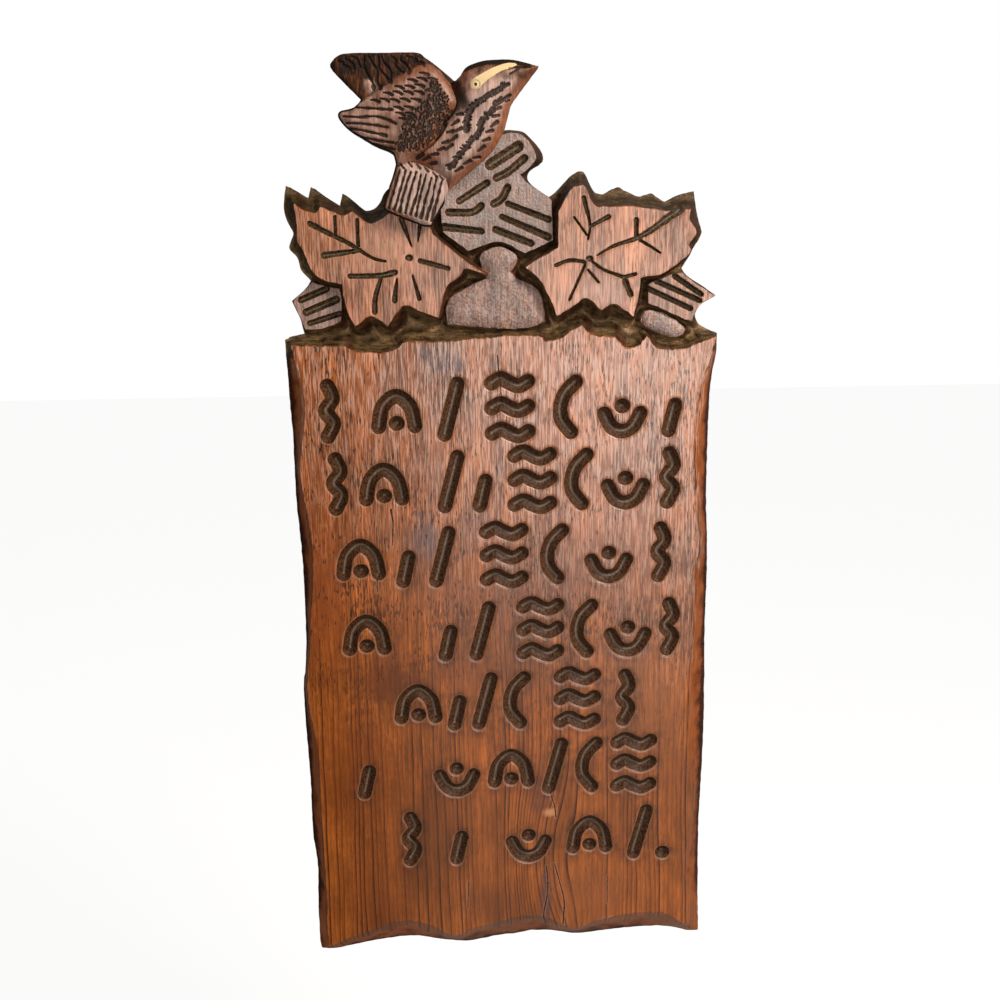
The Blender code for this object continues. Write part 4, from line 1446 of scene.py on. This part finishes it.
        # Dark: stain on the far wing and the head, and painted shade on the nape, the top and left rims and
        # the wing seam.
        dark = np.maximum.reduce([(owner == 3) * 0.93, painted_nape_shade * 0.75, crown, cheek, painted_left_rim_shade, painted_wing_seam_shade])
        return {
            "cream": np.clip(cream, 0, 1),
            "eye": smooth(1.25, 0.8, eye_gap) + 0.45 * np.exp(-(((eye_gap - 2.4) / 0.35) ** 2)),
            "dark": np.clip(dark - 1.2 * knot, 0, 1),
            "umber": umber,
            "pale": np.maximum((owner == 2) * 0.4, (owner == 0) * smooth(9.0, 2.0, belly_gap) * 0.4),
            "orange": np.maximum.reduce([band, flank, tail, rump, beak * 0.7]),
            "far": (owner == 3).astype(float),
        }

    def build(self, finish: Material) -> Object:
        """Make the bird's mesh, gouge its feathers and dress it.

        Args:
            finish: The wood's material.

        Returns:
            The finished piece, which stands for the node bird.
        """
        forms = self.forms()
        low, high = flat_box("bird")
        edge = np.clip(whittled(flowing(BIRD_EDGE, 1.0), 0.12, 3.5, 31), low, high)
        loops = [flowing(form.outline, 1.0) for form in forms]
        drawing = Drawing(edge)
        grid, _ = honeycomb(edge.min(axis=0), edge.max(axis=0), self.pitch)
        grid = grid[inside(grid, edge)]
        drawing.loose(grid[nearest(grid, edge, reach=5.0) > self.pitch * 0.6])
        flat, faces = drawing.triangles()
        level, _, owner = carved(flat, forms, loops, edge, BIRD_GROUND, len(forms) - 1)
        eye_gap = np.linalg.norm(flat - np.array(EYE), axis=1)
        level = level - 0.35 * np.exp(-(((eye_gap - 2.4) / 0.45) ** 2)) - 0.6 * smooth(1.2, 0.5, eye_gap)
        level = level - self.waves * (0.5 + 0.5 * rumple(flat, 6, 61, 0.6))
        marks = self.marks(flat, owner, loops, edge)
        item = Board(
            self.name, flat, faces, level, BIRD_BACK, marks, hewn=0.35, arris=0.6, back_marks={"dark": 0.8}
        ).build()
        feathers = [gouged(*cut, 1.2, 0.35, 150 + i) for i, cut in enumerate(FEATHER_CUTS)]
        feathers += [gouged(*cut, 1.5, 0.3, 170 + i) for i, cut in enumerate(BELLY_GROOVES)]
        feathers += self.tail_cuts() + self.far_cuts()
        nicks = self.wing_nicks() + self.rough_cuts() + self.belly_cuts()
        feather_gouge = Gouge("feather_gouge", bowl=1.6, lip=0.5, lip_drop=0.12)
        nick_gouge = Gouge("nick_gouge", bowl=1.7, lip=0.3, lip_drop=0.08)
        work = ((feather_gouge, "feather_lines", feathers), (nick_gouge, "feather_nicks", nicks))
        settle(item, "bird", finish, 60, work)
        return item


@dataclass(frozen=True)
class Grain:
    """The grain of pine: growth lines up the board, fibres, and short dark resin dashes.

    Attributes:
        line_gap: How far apart the growth lines are.
        bend: By how many lines the grain wanders sideways.
        fibre: The width of a fibre.
        dash: The width and the height of a resin dash.
        knot: Where the knot is that the lines bend round, in X and Z.
        knot_size: How many times the knot's reach goes into a metre, across and along the grain.
        knot_bend: By how many lines the knot pushes the grain aside.
    """

    line_gap: float = 3.2
    bend: float = 7.0
    fibre: float = 1.05
    dash: tuple = (1.1, 5.5)
    knot: tuple = (26, -315)
    knot_size: tuple = (42, 15)
    knot_bend: float = 4.5

    def lines(self, tree: NodeTree, place: NodeSocket) -> Node:
        """The growth lines, 1 in the dark late wood and 0 in the pale early wood.

        Args:
            tree: The material's node tree.
            place: Where on the piece it is.

        Returns:
            The node that gives it.
        """
        x = add(tree, "SeparateXYZ", (place,)).outputs[0]
        drift = add(tree, "VectorMath MULTIPLY", (place, (13, 9, 2.4)))
        drift = add(tree, "TexNoise", {"Vector": drift, "Scale": 1.0, "Detail": 2.0})
        wobble = add(tree, "VectorMath MULTIPLY", (place, (60, 30, 16)))
        wobble = add(tree, "TexNoise", {"Vector": wobble, "Scale": 1.0, "Detail": 1.0})
        centre = (self.knot[0] * MM, 0.0, self.knot[1] * MM)
        away = add(tree, "VectorMath SUBTRACT", (place, centre))
        away = add(tree, "VectorMath MULTIPLY", (away, (self.knot_size[0], 0, self.knot_size[1])))
        away = add(tree, "VectorMath LENGTH", (away,)).outputs["Value"]
        pushed = add(
            tree, "MapRange", (away, 0.0, 1.6, self.knot_bend, 0.0), interpolation_type="SMOOTHERSTEP"
        )
        step = add(tree, "Math MULTIPLY", (x, 1 / (self.line_gap * MM)))
        step = add(tree, "Math MULTIPLY_ADD", (drift, self.bend, step))
        step = add(tree, "Math MULTIPLY_ADD", (wobble, 0.8, step))
        step = add(tree, "Math ADD", (step, pushed))
        number = add(tree, "Math FLOOR", (step,))
        strength = add(tree, "TexWhiteNoise", {"W": number}, noise_dimensions="1D").outputs["Value"]
        strength = add(tree, "MapRange", (strength, 0.3, 1.0, 0.2, 1.0))
        share = add(tree, "Math FRACT", (step,))
        dark = add(tree, "Math POWER", (share, 2.8))
        return add(tree, "Math MULTIPLY", (dark, strength))

    def fibres(self, tree: NodeTree, place: NodeSocket) -> Node:
        """Fine streaks along the grain.

        Args:
            tree: The material's node tree.
            place: Where on the piece it is.

        Returns:
            The node that gives it.
        """
        fine = 1 / (self.fibre * MM)
        along = add(tree, "VectorMath MULTIPLY", (place, (fine, fine / 3, 60)))
        inputs = {"Vector": along, "Scale": 1.0, "Detail": 3.0, "Roughness": 0.65, "Distortion": 0.4}
        return add(tree, "TexNoise", inputs)

    def dashes(self, tree: NodeTree, place: NodeSocket) -> Node:
        """Short dark dashes, which crowd in patches.

        Args:
            tree: The material's node tree.
            place: Where on the piece it is.

        Returns:
            The node that gives it.
        """
        across_grain, along_grain = (1 / (size * MM) for size in self.dash)
        speck = add(tree, "VectorMath MULTIPLY", (place, (across_grain, across_grain / 2, along_grain)))
        speck = add(tree, "TexNoise", {"Vector": speck, "Scale": 1.0, "Detail": 1.0, "Roughness": 0.4})
        bar = add(tree, "TexNoise", {"Vector": place, "Scale": 40.0, "Detail": 3.0})
        bar = add(tree, "MapRange", (bar, 0.42, 0.66, 0.68, 0.5))
        over = add(tree, "Math SUBTRACT", (speck, bar))
        return add(tree, "Math MULTIPLY", (over, 13.0), use_clamp=True)


@dataclass(frozen=True)
class Finish:
    """A finish of the wood, which reads the piece's marks and whose pattern is set out in real lengths.

    Attributes:
        name: What the finish is.
        marks: The marks that it reads.
    """

    name: str
    marks: tuple

    def material(self) -> Material:
        """The finish's material.

        Returns:
            The material.
        """
        material = bpy.data.materials.new(self.name)
        material.use_nodes = True
        tree = material.node_tree
        place = add(tree, "TexCoord").outputs["Object"]
        marks = {name: add(tree, "Attribute", attribute_name=name).outputs["Fac"] for name in self.marks}
        feed(tree.nodes["Principled BSDF"], self.surface(tree, place, marks))
        return material

    def surface(self, tree: NodeTree, place: NodeSocket, marks: dict) -> dict:
        """The colour, the sheen and the relief of the surface.

        Args:
            tree: The material's node tree.
            place: Where on the piece it is.
            marks: The socket that gives each mark, by its name.

        Returns:
            What each input of the shader is fed, by its name.
        """
        raise NotImplementedError


@dataclass(frozen=True)
class StainedPine(Finish):
    """Straight-grained pine under a red-brown stain and satin varnish, with dark stain in all that was cut.

    The crest's faces are sanded paler, the middle leaf and the mound have gone matte and grey, and the dark
    stain has worn off to orange along the rims.
    """

    name: str = "stained_pine"
    marks: tuple = ("stain", "ground", "bevel", "ash", "blush", "stipple", "halo", "cut", "valley", "lip")
    early_wood: str = "#AB5D24"
    late_wood: str = "#421A08"
    blush: str = "#B07353"
    dash: str = "#2A130B"
    ash: str = "#B5A6A3"
    ash_speck: str = "#57473F"
    black_stain: str = "#291C11"
    olive_stain: str = "#866A45"
    # Gold of the painted highlight on the sunlit ground.
    painted_sunlit_gold: str = "#B8946A"
    groove: str = "#231A11"
    smoke: str = "#33170C"
    # Red stain of the bevels, also the painted lit red of walls that face right.
    red_stain_and_painted_light: str = "#54210D"
    worn: str = "#A4551F"
    valley: str = "#85786C"
    # Pale pink of the painted highlight on the lip beside each cut.
    lip: str = "#C99A80"
    # Pale pink of the painted sheen.
    painted_sheen_colour: str = "#CFA998"

    def with_stain_and_painted_light_patches(self, tree: NodeTree, place: NodeSocket, cloud: Node, colour: Node) -> Node:
        """The colour with uneven patches of stain, painted sheen and painted shade, frayed by the cloud.

        Args:
            tree: The material's node tree.
            place: Where on the piece it is.
            cloud: Noise that frays the outlines.
            colour: The colour.

        Returns:
            The node that gives it.
        """
        for x, z, wide, high, hue, strength in STAIN_AND_PAINTED_LIGHT_PATCHES:
            there = add(tree, "VectorMath SUBTRACT", (place, (x * MM, 0, z * MM)))
            there = add(tree, "VectorMath MULTIPLY", (there, (1 / (wide * MM), 0, 1 / (high * MM))))
            gap = add(tree, "VectorMath LENGTH", (there,)).outputs["Value"]
            gap = add(tree, "Math MULTIPLY_ADD", (cloud, 1.2, gap))
            share = add(tree, "MapRange", (gap, 0.9, 1.9, strength, 0.0), interpolation_type="SMOOTHSTEP")
            colour = add(tree, "Mix", {"Factor": share, "A": colour, "B": hue}, data_type="RGBA")
        return colour

    def dark_stain(self, tree: NodeTree, place: NodeSocket, marks: dict, red: Node) -> Node:
        """Dark stain: black to olive, painted sunlit gold on the ground, and black to red where red says so.

        Args:
            tree: The material's node tree.
            place: Where on the piece it is.
            marks: The socket that gives each mark, by its name.
            red: How red it is.

        Returns:
            The node that gives it.
        """
        z = add(tree, "SeparateXYZ", (place,)).outputs[2]
        dapple = add(tree, "VectorMath MULTIPLY", (place, (130, 230, 330)))
        dapple = add(tree, "TexNoise", {"Vector": dapple, "Scale": 1.0, "Detail": 5.0, "Roughness": 0.65})
        dapple = add(tree, "MapRange", (dapple, 0.36, 0.66))
        handled = add(tree, "MapRange", (z, 0.105, 0.145, 1.0, 0.4))
        dapple = add(tree, "Math MULTIPLY", (dapple, handled))
        # Painted highlight: gold on the ground where the light would catch it.
        sunlit = add(tree, "Math MULTIPLY_ADD", (dapple, 0.7, 0.3))
        for share in (marks["ground"], handled):
            sunlit = add(tree, "Math MULTIPLY", (sunlit, share))
        mossy = self.black_stain
        for share, other in ((dapple, self.olive_stain), (sunlit, self.painted_sunlit_gold)):
            mossy = add(tree, "Mix", {"Factor": share, "A": mossy, "B": other}, data_type="RGBA")
        # Red on the bevels is stain; red on walls that face right is painted light.
        rusty = add(
            tree, "Mix", {"Factor": dapple, "A": self.black_stain, "B": self.red_stain_and_painted_light}, data_type="RGBA"
        )
        return add(tree, "Mix", {"Factor": red, "A": mossy, "B": rusty}, data_type="RGBA")

    def surface(self, tree: NodeTree, place: NodeSocket, marks: dict) -> dict:
        """The colour, the sheen and the relief of the surface, as every finish gives them.

        Args:
            tree: The material's node tree.
            place: Where on the piece it is.
            marks: The socket that gives each mark, by its name.

        Returns:
            What each input of the shader is fed, by its name.
        """
        x, _, z = add(tree, "SeparateXYZ", (place,)).outputs
        grain = Grain()
        lines, fibres, dashes = grain.lines(tree, place), grain.fibres(tree, place), grain.dashes(tree, place)
        cloud = add(tree, "TexNoise", {"Vector": place, "Scale": 160.0, "Detail": 3.0})

        # Wood: growth lines that show more low on the board, broad tones, fibres, and smudges of stain, of
        # painted sheen and of painted shade.
        low_down = add(tree, "MapRange", (z, -0.05, -0.26, 0.5, 1.7))
        shown = add(tree, "Math MULTIPLY", (lines, low_down))
        swells = []
        for size, spread in (
            ((22, 16, 7), (0.3, 0.7, 0.62, 1.28)),
            ((310, 120, 14), (0.32, 0.68, 0.55, 1.35)),
            ((75, 50, 26), (0.34, 0.66, 0.56, 1.36)),
        ):
            swell = add(tree, "VectorMath MULTIPLY", (place, size))
            swell = add(tree, "TexNoise", {"Vector": swell, "Scale": 1.0, "Detail": 3.0})
            swells.append(add(tree, "MapRange", (swell, *spread)))
        tone, streak, blotch = swells
        coarse = add(tree, "MapRange", (z, -0.28, 0.02, 1.4, 3.3))
        drawn = add(tree, "Math SUBTRACT", (fibres, 0.5))
        drawn = add(tree, "Math MULTIPLY_ADD", (drawn, coarse, 1.0))
        mottle = add(tree, "Math MULTIPLY", (streak, blotch))
        even = add(tree, "Math MULTIPLY_ADD", (mottle, -1.0, 1.0))
        even = add(tree, "Math MULTIPLY", (even, low_down))
        mottle = add(tree, "Math MULTIPLY_ADD", (even, 0.35, mottle))
        for share in (drawn, mottle):
            tone = add(tree, "Math MULTIPLY", (tone, share))
        colour = self.early_wood
        for share, other in ((shown, self.late_wood), (marks["blush"], self.blush)):
            colour = add(tree, "Mix", {"Factor": share, "A": colour, "B": other}, data_type="RGBA")
        colour = add(tree, "VectorMath SCALE", {0: colour, "Scale": tone})
        colour = self.with_stain_and_painted_light_patches(tree, place, cloud, colour)

        # Smoky rims round the strokes low down, and resin dashes high up, fewer where it was sanded.
        smoky = add(tree, "MapRange", (cloud, 0.35, 0.6))
        for share in (marks["halo"], 0.5):
            smoky = add(tree, "Math MULTIPLY", (smoky, share))
        high_up = add(tree, "MapRange", (z, -0.24, -0.06, 0.15, 0.9))
        sanded = add(tree, "Math MULTIPLY_ADD", (marks["blush"], -0.55, 1.0))
        resin = dashes
        for share in (high_up, sanded):
            resin = add(tree, "Math MULTIPLY", (resin, share))

        # Painted sheen: pale pink on the raised fibres, up to the right more than down to the left.
        upwards = add(tree, "Math MULTIPLY_ADD", (x, 0.45, z))
        painted_sheen = add(tree, "MapRange", (upwards, -0.19, 0.08, 0.0, 0.9), interpolation_type="SMOOTHSTEP")
        raised = add(tree, "MapRange", (fibres, 0.48, 0.59))
        for share in (raised, sanded):
            painted_sheen = add(tree, "Math MULTIPLY", (painted_sheen, share))

        # Matte grey, mottled, where the mark says so.
        grit = add(tree, "TexNoise", {"Vector": place, "Scale": 620.0, "Detail": 3.0})
        grit = add(tree, "MapRange", (grit, 0.38, 0.58))
        pitted = add(tree, "Math MULTIPLY_ADD", (grit, -1.0, 1.0))
        pitting = add(tree, "Math MULTIPLY_ADD", (marks["stipple"], 0.9, 0.12))
        pitted = add(tree, "Math MULTIPLY", (pitted, pitting))
        soft = add(tree, "Math MULTIPLY_ADD", (tone, 0.35, 0.65))
        grey = add(tree, "Mix", {"Factor": pitted, "A": self.ash, "B": self.ash_speck}, data_type="RGBA")
        grey = add(tree, "VectorMath SCALE", {0: grey, "Scale": soft})
        worn_through = add(tree, "MapRange", (cloud, 0.38, 0.6, 0.95, 0.6))
        ashen = add(tree, "Math MULTIPLY", (marks["ash"], worn_through))
        # A painted highlight in pale pink on the lip beside each cut.
        lip = add(tree, "Math MULTIPLY", (marks["lip"], 0.3))

        # Dark stain, red on bevels and, as painted light, on walls that face right towards the light, with
        # ragged edges and rims worn to orange.
        # Walls that face right, towards the light, get a painted lit red.
        facing = add(tree, "SeparateXYZ", (add(tree, "NewGeometry").outputs["Normal"],)).outputs[0]
        red = add(tree, "MapRange", (facing, 0.05, 0.6), interpolation_type="SMOOTHSTEP")
        red = add(tree, "Math MULTIPLY", (red, 0.8))
        red = add(tree, "Math MAXIMUM", (red, marks["bevel"]))
        dark = self.dark_stain(tree, place, marks, red)
        ragged = add(tree, "TexNoise", {"Vector": place, "Scale": 75.0, "Detail": 4.0})
        ragged = add(tree, "Math SUBTRACT", (ragged, 0.5))
        reach = add(tree, "Math MULTIPLY", (marks["stain"], 12.0), use_clamp=True)
        ragged = add(tree, "Math MULTIPLY", (ragged, reach))
        edge = add(tree, "Math MULTIPLY_ADD", (ragged, 0.9, marks["stain"]))
        stained = add(tree, "MapRange", (edge, 0.12, 0.55), interpolation_type="SMOOTHSTEP")
        rubbed = add(tree, "MapRange", (edge, 0.05, 0.2), interpolation_type="SMOOTHSTEP")

        # Grooves are gritty, with painted lit red on walls that face right and a pale line along the valley.
        grooved = add(tree, "MapRange", (marks["cut"], 0.0, 0.12))
        gritty = add(tree, "Math MULTIPLY", (grit, 0.42))
        painted_lit_warmth = add(tree, "Math MULTIPLY", (red, 0.4))
        inner = self.groove
        for share, other in ((gritty, self.olive_stain), (painted_lit_warmth, self.red_stain_and_painted_light)):
            inner = add(tree, "Mix", {"Factor": share, "A": inner, "B": other}, data_type="RGBA")
        pale = add(tree, "MapRange", (marks["valley"], 0.4, 0.9, 0.0, 0.8), interpolation_type="SMOOTHSTEP")
        layers = (
            (smoky, self.smoke), (resin, self.dash), (painted_sheen, self.painted_sheen_colour), (ashen, grey), (lip, self.lip),
            (rubbed, self.worn), (stained, dark), (grooved, inner), (pale, self.valley),
        )
        for share, other in layers:
            colour = add(tree, "Mix", {"Factor": share, "A": colour, "B": other}, data_type="RGBA")

        # The varnish shines on faces, and less in grooves, on stained ground, where grey and to the left.
        worked = add(tree, "Math MAXIMUM", (stained, grooved))
        dull = add(tree, "Math MULTIPLY_ADD", (worked, 0.2, 0.36))
        dull = add(tree, "Math MULTIPLY_ADD", (marks["ash"], 0.35, dull))
        bare = add(tree, "Math MAXIMUM", (marks["ash"], worked))
        coat = add(tree, "Math MULTIPLY_ADD", (bare, -0.45, 0.5))
        thin = add(tree, "MapRange", (x, -0.125, -0.035, 0.2, 1.0))
        coat = add(tree, "Math MULTIPLY", (coat, thin))
        sheen = add(tree, "Math MULTIPLY_ADD", (worked, -0.5, 1.0))
        for share in (thin, 0.5):
            sheen = add(tree, "Math MULTIPLY", (sheen, share))

        # The surface: fibres, sunk growth lines and dashes, and the grit of worked and grey wood.
        height = add(tree, "Math MULTIPLY", (fibres, 0.35))
        grit = add(tree, "Math MULTIPLY", (grit, 1.5))
        for share, depth in ((resin, -0.9), (shown, -0.25), (bare, grit)):
            height = add(tree, "Math MULTIPLY_ADD", (share, depth, height))
        bump = add(tree, "Bump", {"Height": height, "Strength": 1.0, "Distance": 0.2 * MM})
        return {
            "Base Color": colour, "Roughness": dull, "IOR": 1.5, "Specular IOR Level": sheen,
            "Coat Weight": coat, "Coat Roughness": 0.32, "Normal": bump,
        }


@dataclass(frozen=True)
class PaintedBirdWood(Finish):
    """The bird's pine: pinkish ridges, orange bare bands, near-black stain in the cuts, and cream paint."""

    name: str = "painted_bird_wood"
    marks: tuple = ("cream", "eye", "dark", "umber", "pale", "orange", "far", "cut")
    wood: str = "#C19887"
    brown: str = "#7E5645"
    pale: str = "#D3BAB0"
    orange: str = "#864821"
    # Umber of the wing's rough zone, also the painted shade on the nape.
    umber: str = "#57351F"
    black_stain: str = "#22140B"
    streak: str = "#6C3A1C"
    cut: str = "#2B1A12"
    cream: str = "#EBCF9C"
    pupil: str = "#2A1C10"

    def surface(self, tree: NodeTree, place: NodeSocket, marks: dict) -> dict:
        """The colour, the sheen and the relief of the surface, as every finish gives them.

        Args:
            tree: The material's node tree.
            place: Where on the piece it is.
            marks: The socket that gives each mark, by its name.

        Returns:
            What each input of the shader is fed, by its name.
        """
        grain = Grain(line_gap=5, bend=3)
        lines, fibres = grain.lines(tree, place), grain.fibres(tree, place)

        # Wood in mottled pink and brown, with pale, umber and orange patches, where the umber on the nape is
        # painted shade.
        cloud = add(tree, "TexNoise", {"Vector": place, "Scale": 110.0, "Detail": 4.0})
        cloud = add(tree, "MapRange", (cloud, 0.35, 0.65))
        mixed = add(tree, "Math MULTIPLY_ADD", (lines, 0.5, cloud), use_clamp=True)
        patchy = add(tree, "Math MULTIPLY_ADD", (cloud, -0.45, 1.0))
        patchy = add(tree, "Math MULTIPLY", (patchy, marks["orange"]))
        colour = self.wood
        patches = ((marks["pale"], self.pale), (marks["umber"], self.umber), (patchy, self.orange))
        for share, other in ((mixed, self.brown), *patches):
            colour = add(tree, "Mix", {"Factor": share, "A": colour, "B": other}, data_type="RGBA")
        tone = add(tree, "MapRange", (fibres, 0.35, 0.65, 0.62, 1.35))
        colour = add(tree, "VectorMath SCALE", {0: colour, "Scale": tone})

        # Near-black stain with brown wisps on the far wing and dark stain on the head, near-black painted
        # shade on the nape, the head's top rim, the left rim and the wing seam, dark cuts, and chipped cream
        # paint.
        ragged = add(tree, "Math SUBTRACT", (cloud, 0.35))
        dark = add(tree, "Math MULTIPLY_ADD", (ragged, 0.35, marks["dark"]))
        dark = add(tree, "MapRange", (dark, 0.15, 0.9), interpolation_type="SMOOTHSTEP")
        wisps = add(tree, "VectorMath MULTIPLY", (place, (300, 150, 55)))
        wisps = add(tree, "TexNoise", {"Vector": wisps, "Scale": 1.0, "Detail": 4.0, "Distortion": 2.2})
        wisps = add(tree, "MapRange", (wisps, 0.48, 0.68))
        wisps = add(tree, "Math MULTIPLY", (wisps, marks["far"]))
        black = add(tree, "Mix", {"Factor": wisps, "A": self.black_stain, "B": self.streak}, data_type="RGBA")
        grooved = add(tree, "MapRange", (marks["cut"], 0.05, 0.5, 0.0, 0.95))
        cut = add(
            tree, "Mix", {"Factor": marks["far"], "A": self.cut, "B": self.black_stain}, data_type="RGBA"
        )
        chipped = add(tree, "TexNoise", {"Vector": place, "Scale": 700.0, "Detail": 3.0})
        chipped = add(tree, "Math MULTIPLY_ADD", (chipped, -0.5, 0.27))
        paint = add(tree, "Math ADD", (marks["cream"], chipped))
        paint = add(tree, "MapRange", (paint, 0.45, 0.6))
        for share, other in ((dark, black), (grooved, cut), (paint, self.cream), (marks["eye"], self.pupil)):
            colour = add(tree, "Mix", {"Factor": share, "A": colour, "B": other}, data_type="RGBA")

        dull = add(tree, "Math MAXIMUM", (grooved, dark))
        coat = add(tree, "Math MULTIPLY_ADD", (dull, -0.2, 0.2))
        dull = add(tree, "Math MULTIPLY_ADD", (dull, 0.14, 0.48))
        sheen = add(tree, "Math MULTIPLY_ADD", (dark, -0.3, 0.5))
        height = add(tree, "Math MULTIPLY_ADD", (lines, -0.3, fibres))
        bump = add(tree, "Bump", {"Height": height, "Strength": 0.9, "Distance": 0.16 * MM})
        return {
            "Base Color": colour, "Roughness": dull, "IOR": 1.45, "Specular IOR Level": sheen,
            "Coat Weight": coat, "Coat Roughness": 0.3, "Normal": bump,
        }


@dataclass(frozen=True)
class SoftBox:
    """One square soft light."""

    name: str
    place: tuple
    aim: tuple
    size: tuple
    power: float
    colour: str

    def build(self) -> None:
        """Hang the light at its place, turned to what it lights."""
        light = bpy.data.lights.new(self.name, "AREA")
        light.shape = "RECTANGLE"
        light.size, light.size_y = self.size
        light.energy = self.power
        light.color = linear(self.colour)[:3]
        lamp = placed(self.name, light)
        lamp.location = self.place
        lamp.rotation_euler = (Vector(self.aim) - Vector(self.place)).to_track_quat("-Z", "Y").to_euler()


@dataclass
class Studio:
    """A pale floor, soft light and the camera, in metres.

    Attributes:
        floor_level: The height of the floor.
        floor_reach: How far the floor goes each way.
        floor_colour: The floor's colour.
        floor_glow: How brightly the camera sees it shine.
        ambient: How brightly the surroundings light the sign.
        lens: The camera's focal length in millimetres, for a frame of 36 mm.
        camera_place: Where the camera is.
        camera_right: The direction that lies to the right in the picture.
        camera_down: The direction that lies down in the picture.
        lights: The soft lights.
    """

    floor_level: float = -0.75
    floor_reach: float = 6.0
    floor_colour: str = "#9C9B99"
    floor_glow: float = 0.86
    ambient: float = 0.25
    lens: float = 39.6
    camera_place: tuple = (-0.03165, -0.75942, 0.12064)
    camera_right: tuple = (0.99906, -0.04165, -0.01205)
    camera_down: tuple = (-0.02104, -0.22295, -0.9746)
    lights: tuple = (
        SoftBox("key", (0.75, -0.7, 0.78), (0, 0, -0.05), (0.35, 0.35), 15, "#FFF4E6"),
        SoftBox("window", (0.5, -2.4, -0.25), (0, 0, -0.05), (0.9, 0.6), 17, "#FFFAF4"),
    )

    def camera(self) -> None:
        """Stand the camera where it sees the sign as the photograph does."""
        lens = bpy.data.cameras.new("camera")
        lens.lens = self.lens
        lens.sensor_width = 36
        camera = placed("camera", lens)
        right, down = Vector(self.camera_right), Vector(self.camera_down)
        turn = Matrix((right, -down, -right.cross(down))).transposed().to_4x4()
        turn.translation = Vector(self.camera_place)
        camera.matrix_world = turn
        bpy.context.scene.camera = camera

    def floor(self) -> None:
        """A wide pale floor below the sign."""
        mesh = bpy.data.meshes.new("floor")
        reach = self.floor_reach
        corners = ((-reach, -reach), (reach, -reach), (reach, reach), (-reach, reach))
        mesh.from_pydata([(*corner, self.floor_level) for corner in corners], [], [(0, 1, 2, 3)])
        floor = placed("floor", mesh)
        paint = bpy.data.materials.new("pale_floor")
        paint.use_nodes = True
        tree = paint.node_tree
        seen = add(tree, "LightPath").outputs["Is Camera Ray"]
        glow = add(tree, "Math MULTIPLY", (seen, self.floor_glow))
        feed(tree.nodes["Principled BSDF"], {
            "Base Color": self.floor_colour, "Roughness": 0.9, "Emission Color": "#FFFFFF",
            "Emission Strength": glow,
        })
        mesh.materials.append(paint)

    def surroundings(self) -> None:
        """A white that the camera sees, and a dimmer one that lights the sign from all round."""
        world = bpy.data.worlds.new("studio")
        world.use_nodes = True
        tree = world.node_tree
        seen = add(tree, "LightPath").outputs["Is Camera Ray"]
        strength = add(tree, "MapRange", (seen, 0.0, 1.0, self.ambient, 1.0))
        feed(tree.nodes["Background"], {"Color": "#FFFFFF", "Strength": strength})
        bpy.context.scene.world = world

    def build(self) -> None:
        """Set up the floor, the lights, the surroundings and the camera."""
        bpy.context.scene.view_settings.view_transform = "Standard"
        self.surroundings()
        self.floor()
        for light in self.lights:
            light.build()
        self.camera()


def main() -> None:
    """Build the sign, then the studio round it."""
    logging.basicConfig(level=logging.INFO, format="%(message)s")
    CarvedPlank().build(StainedPine().material())
    GluedBird().build(PaintedBirdWood().material())
    Studio().build()


if __name__ == "__main__":
    main()
